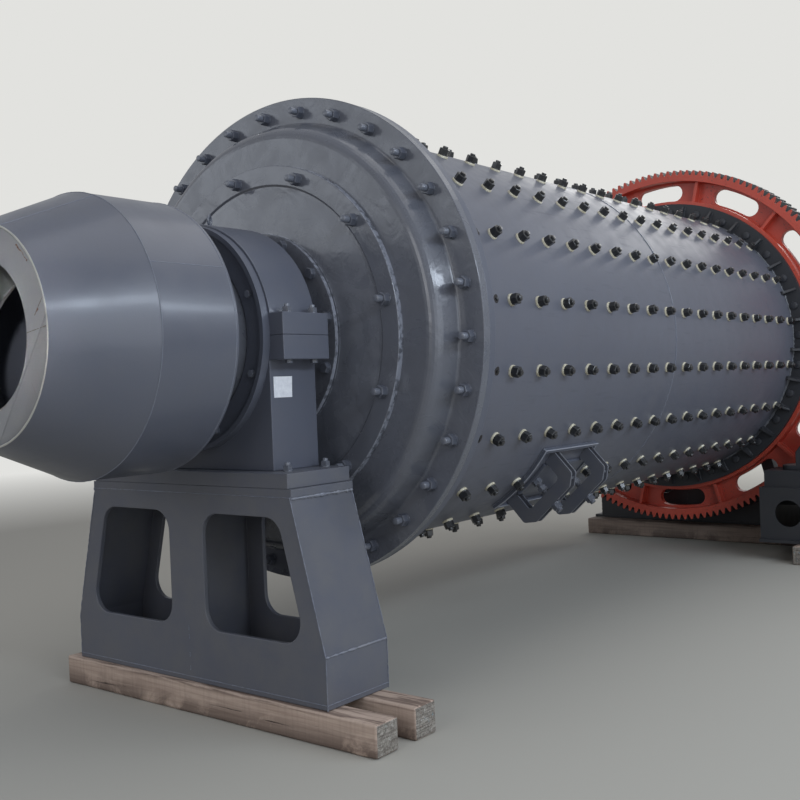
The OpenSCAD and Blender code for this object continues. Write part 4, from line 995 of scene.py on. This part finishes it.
# %% The slip
HOUSING_HALF_W, SLIP_OUT, SLIP_DROP, SLIP_W, SLIP_H = 0.500, 0.582, 0.232, 0.109, 0.090
bm = bmesh.new()
bmesh.ops.create_grid(bm, x_segments=6, y_segments=6, size=0.5)
bmesh.ops.scale(bm, vec=(SLIP_W, SLIP_H, 1.0), verts=bm.verts)
for v in bm.verts:
    v.co.z = 0.0012 + 0.004 * max(0.0, (v.co.x + v.co.y) / 0.10) ** 2
slip_at = Vector((shell_low.x - SLIP_OUT, AXIS_Y - HOUSING_HALF_W, AXIS_Z - SLIP_DROP))
flat_on_side = Matrix.Translation(slip_at) @ Matrix.Rotation(math.pi / 2, 4, "X")
bmesh.ops.transform(bm, matrix=flat_on_side, verts=bm.verts)
bmesh.ops.solidify(bm, geom=bm.faces[:], thickness=0.0004)
settle("paper_slip", bm, "root", paper_white)
print("one blank slip")

# %% [markdown]
# ## Floor, world and lamps
#
# The plain pale floor melts into the background, so no horizon cuts the picture. The light is soft: an even sky, a
# long lamp over the drive side, a low broad one that faces the manhole's door, a wide one above, a far one that draws
# the light band along the shell, and weak ones before the feed end, behind the head's brow and into the mouth.

# %% The floor
BACKGROUND, FADE_START, FADE_END, FLOOR_R = rgb(226, 226, 223), 7.0, 16.0, 60.0
floor_material, tree, shader, coords = new_material("pale_floor")
shader.inputs["Roughness"].default_value = 0.75
shader.inputs["Base Color"].default_value = rgb(176, 173, 164)
shader.inputs["Specular IOR Level"].default_value = 0.2
distance = add(tree, "VectorMath", {0: coords}, operation="LENGTH").outputs["Value"]
seen = tree.nodes.new("ShaderNodeLightPath").outputs["Is Camera Ray"]
fade = times(tree, window(tree, distance, FADE_START, FADE_END), seen)
glow = add(tree, "Emission", {"Color": BACKGROUND, "Strength": 1.0}).outputs[0]
mixed = add(tree, "MixShader", {0: fade, 1: shader.outputs[0], 2: glow}).outputs[0]
tree.links.new(mixed, tree.nodes["Material Output"].inputs["Surface"])
bm = bmesh.new()
bmesh.ops.create_circle(bm, cap_ends=True, segments=64, radius=FLOOR_R)
mesh = bpy.data.meshes.new("floor")
bm.to_mesh(mesh)
bm.free()
mesh.materials.append(floor_material)
floor = bpy.data.objects.new("floor", mesh)
link(floor)
print("the floor")

# %% World and lamps
world = bpy.data.worlds.new("studio")
world.use_nodes = True
scene.world = world
tree = world.node_tree
tree.nodes.clear()
path = tree.nodes.new("ShaderNodeLightPath").outputs
shown = calc(tree, "MAXIMUM", path["Is Camera Ray"], times(tree, path["Is Glossy Ray"], 0.28))
sky = add(tree, "Background", {"Color": rgb(236, 240, 250), "Strength": 0.38}).outputs[0]
backdrop = add(tree, "Background", {"Color": BACKGROUND, "Strength": 1.0}).outputs[0]
both = add(tree, "MixShader", {0: shown, 1: sky, 2: backdrop}).outputs[0]
tree.links.new(both, tree.nodes.new("ShaderNodeOutputWorld").inputs["Surface"])


def lamp(name, spot, target, width, depth, power, colour, spread=180.0):
    """An area lamp that faces its target and isn't seen itself."""
    data = bpy.data.lights.new(name, "AREA")
    data.shape, data.size, data.size_y = "RECTANGLE", width, depth
    data.energy, data.color, data.spread = power, colour, math.radians(spread)
    made = bpy.data.objects.new(name, data)
    made.location = spot
    made.rotation_euler = (Vector(target) - Vector(spot)).to_track_quat("-Z", "Y").to_euler()
    made.visible_camera = False
    link(made)


lamp("side_lamp", (-0.5, -7.5, 5.0), (0.5, 0.0, 1.4), 11.0, 0.9, 390.0, (0.77, 0.87, 1.0))
lamp("door_lamp", (-3.5, -8.4, 1.9), (0.8, 0.0, 0.7), 9.0, 3.4, 115.0, (0.86, 0.92, 1.0))
lamp("top_lamp", (0.5, -1.0, 7.5), (0.2, 0.0, 1.0), 9.0, 5.0, 105.0, (1.0, 0.99, 0.97))
lamp("far_lamp", (13.0, 1.8, 7.5), (12.0, 1.4, 0.0), 8.0, 4.4, 440.0, (1.0, 0.99, 0.97))
lamp("front_lamp", (-9.5, -0.6, 3.6), (-2.0, 0.0, 1.6), 4.0, 3.0, 78.0, (0.97, 0.98, 1.0))
lamp("brow_lamp", (-6.8, 5.2, 4.2), (-2.0, 0.3, 2.2), 5.0, 1.8, 40.0, (0.84, 0.91, 1.0))
lamp("mouth_lamp", (-6.9, -3.4, 2.1), (-3.5, 0.25, 1.72), 0.5, 0.5, 0.4, (1.0, 1.0, 0.98), 5.0)
print("the world and seven lamps")
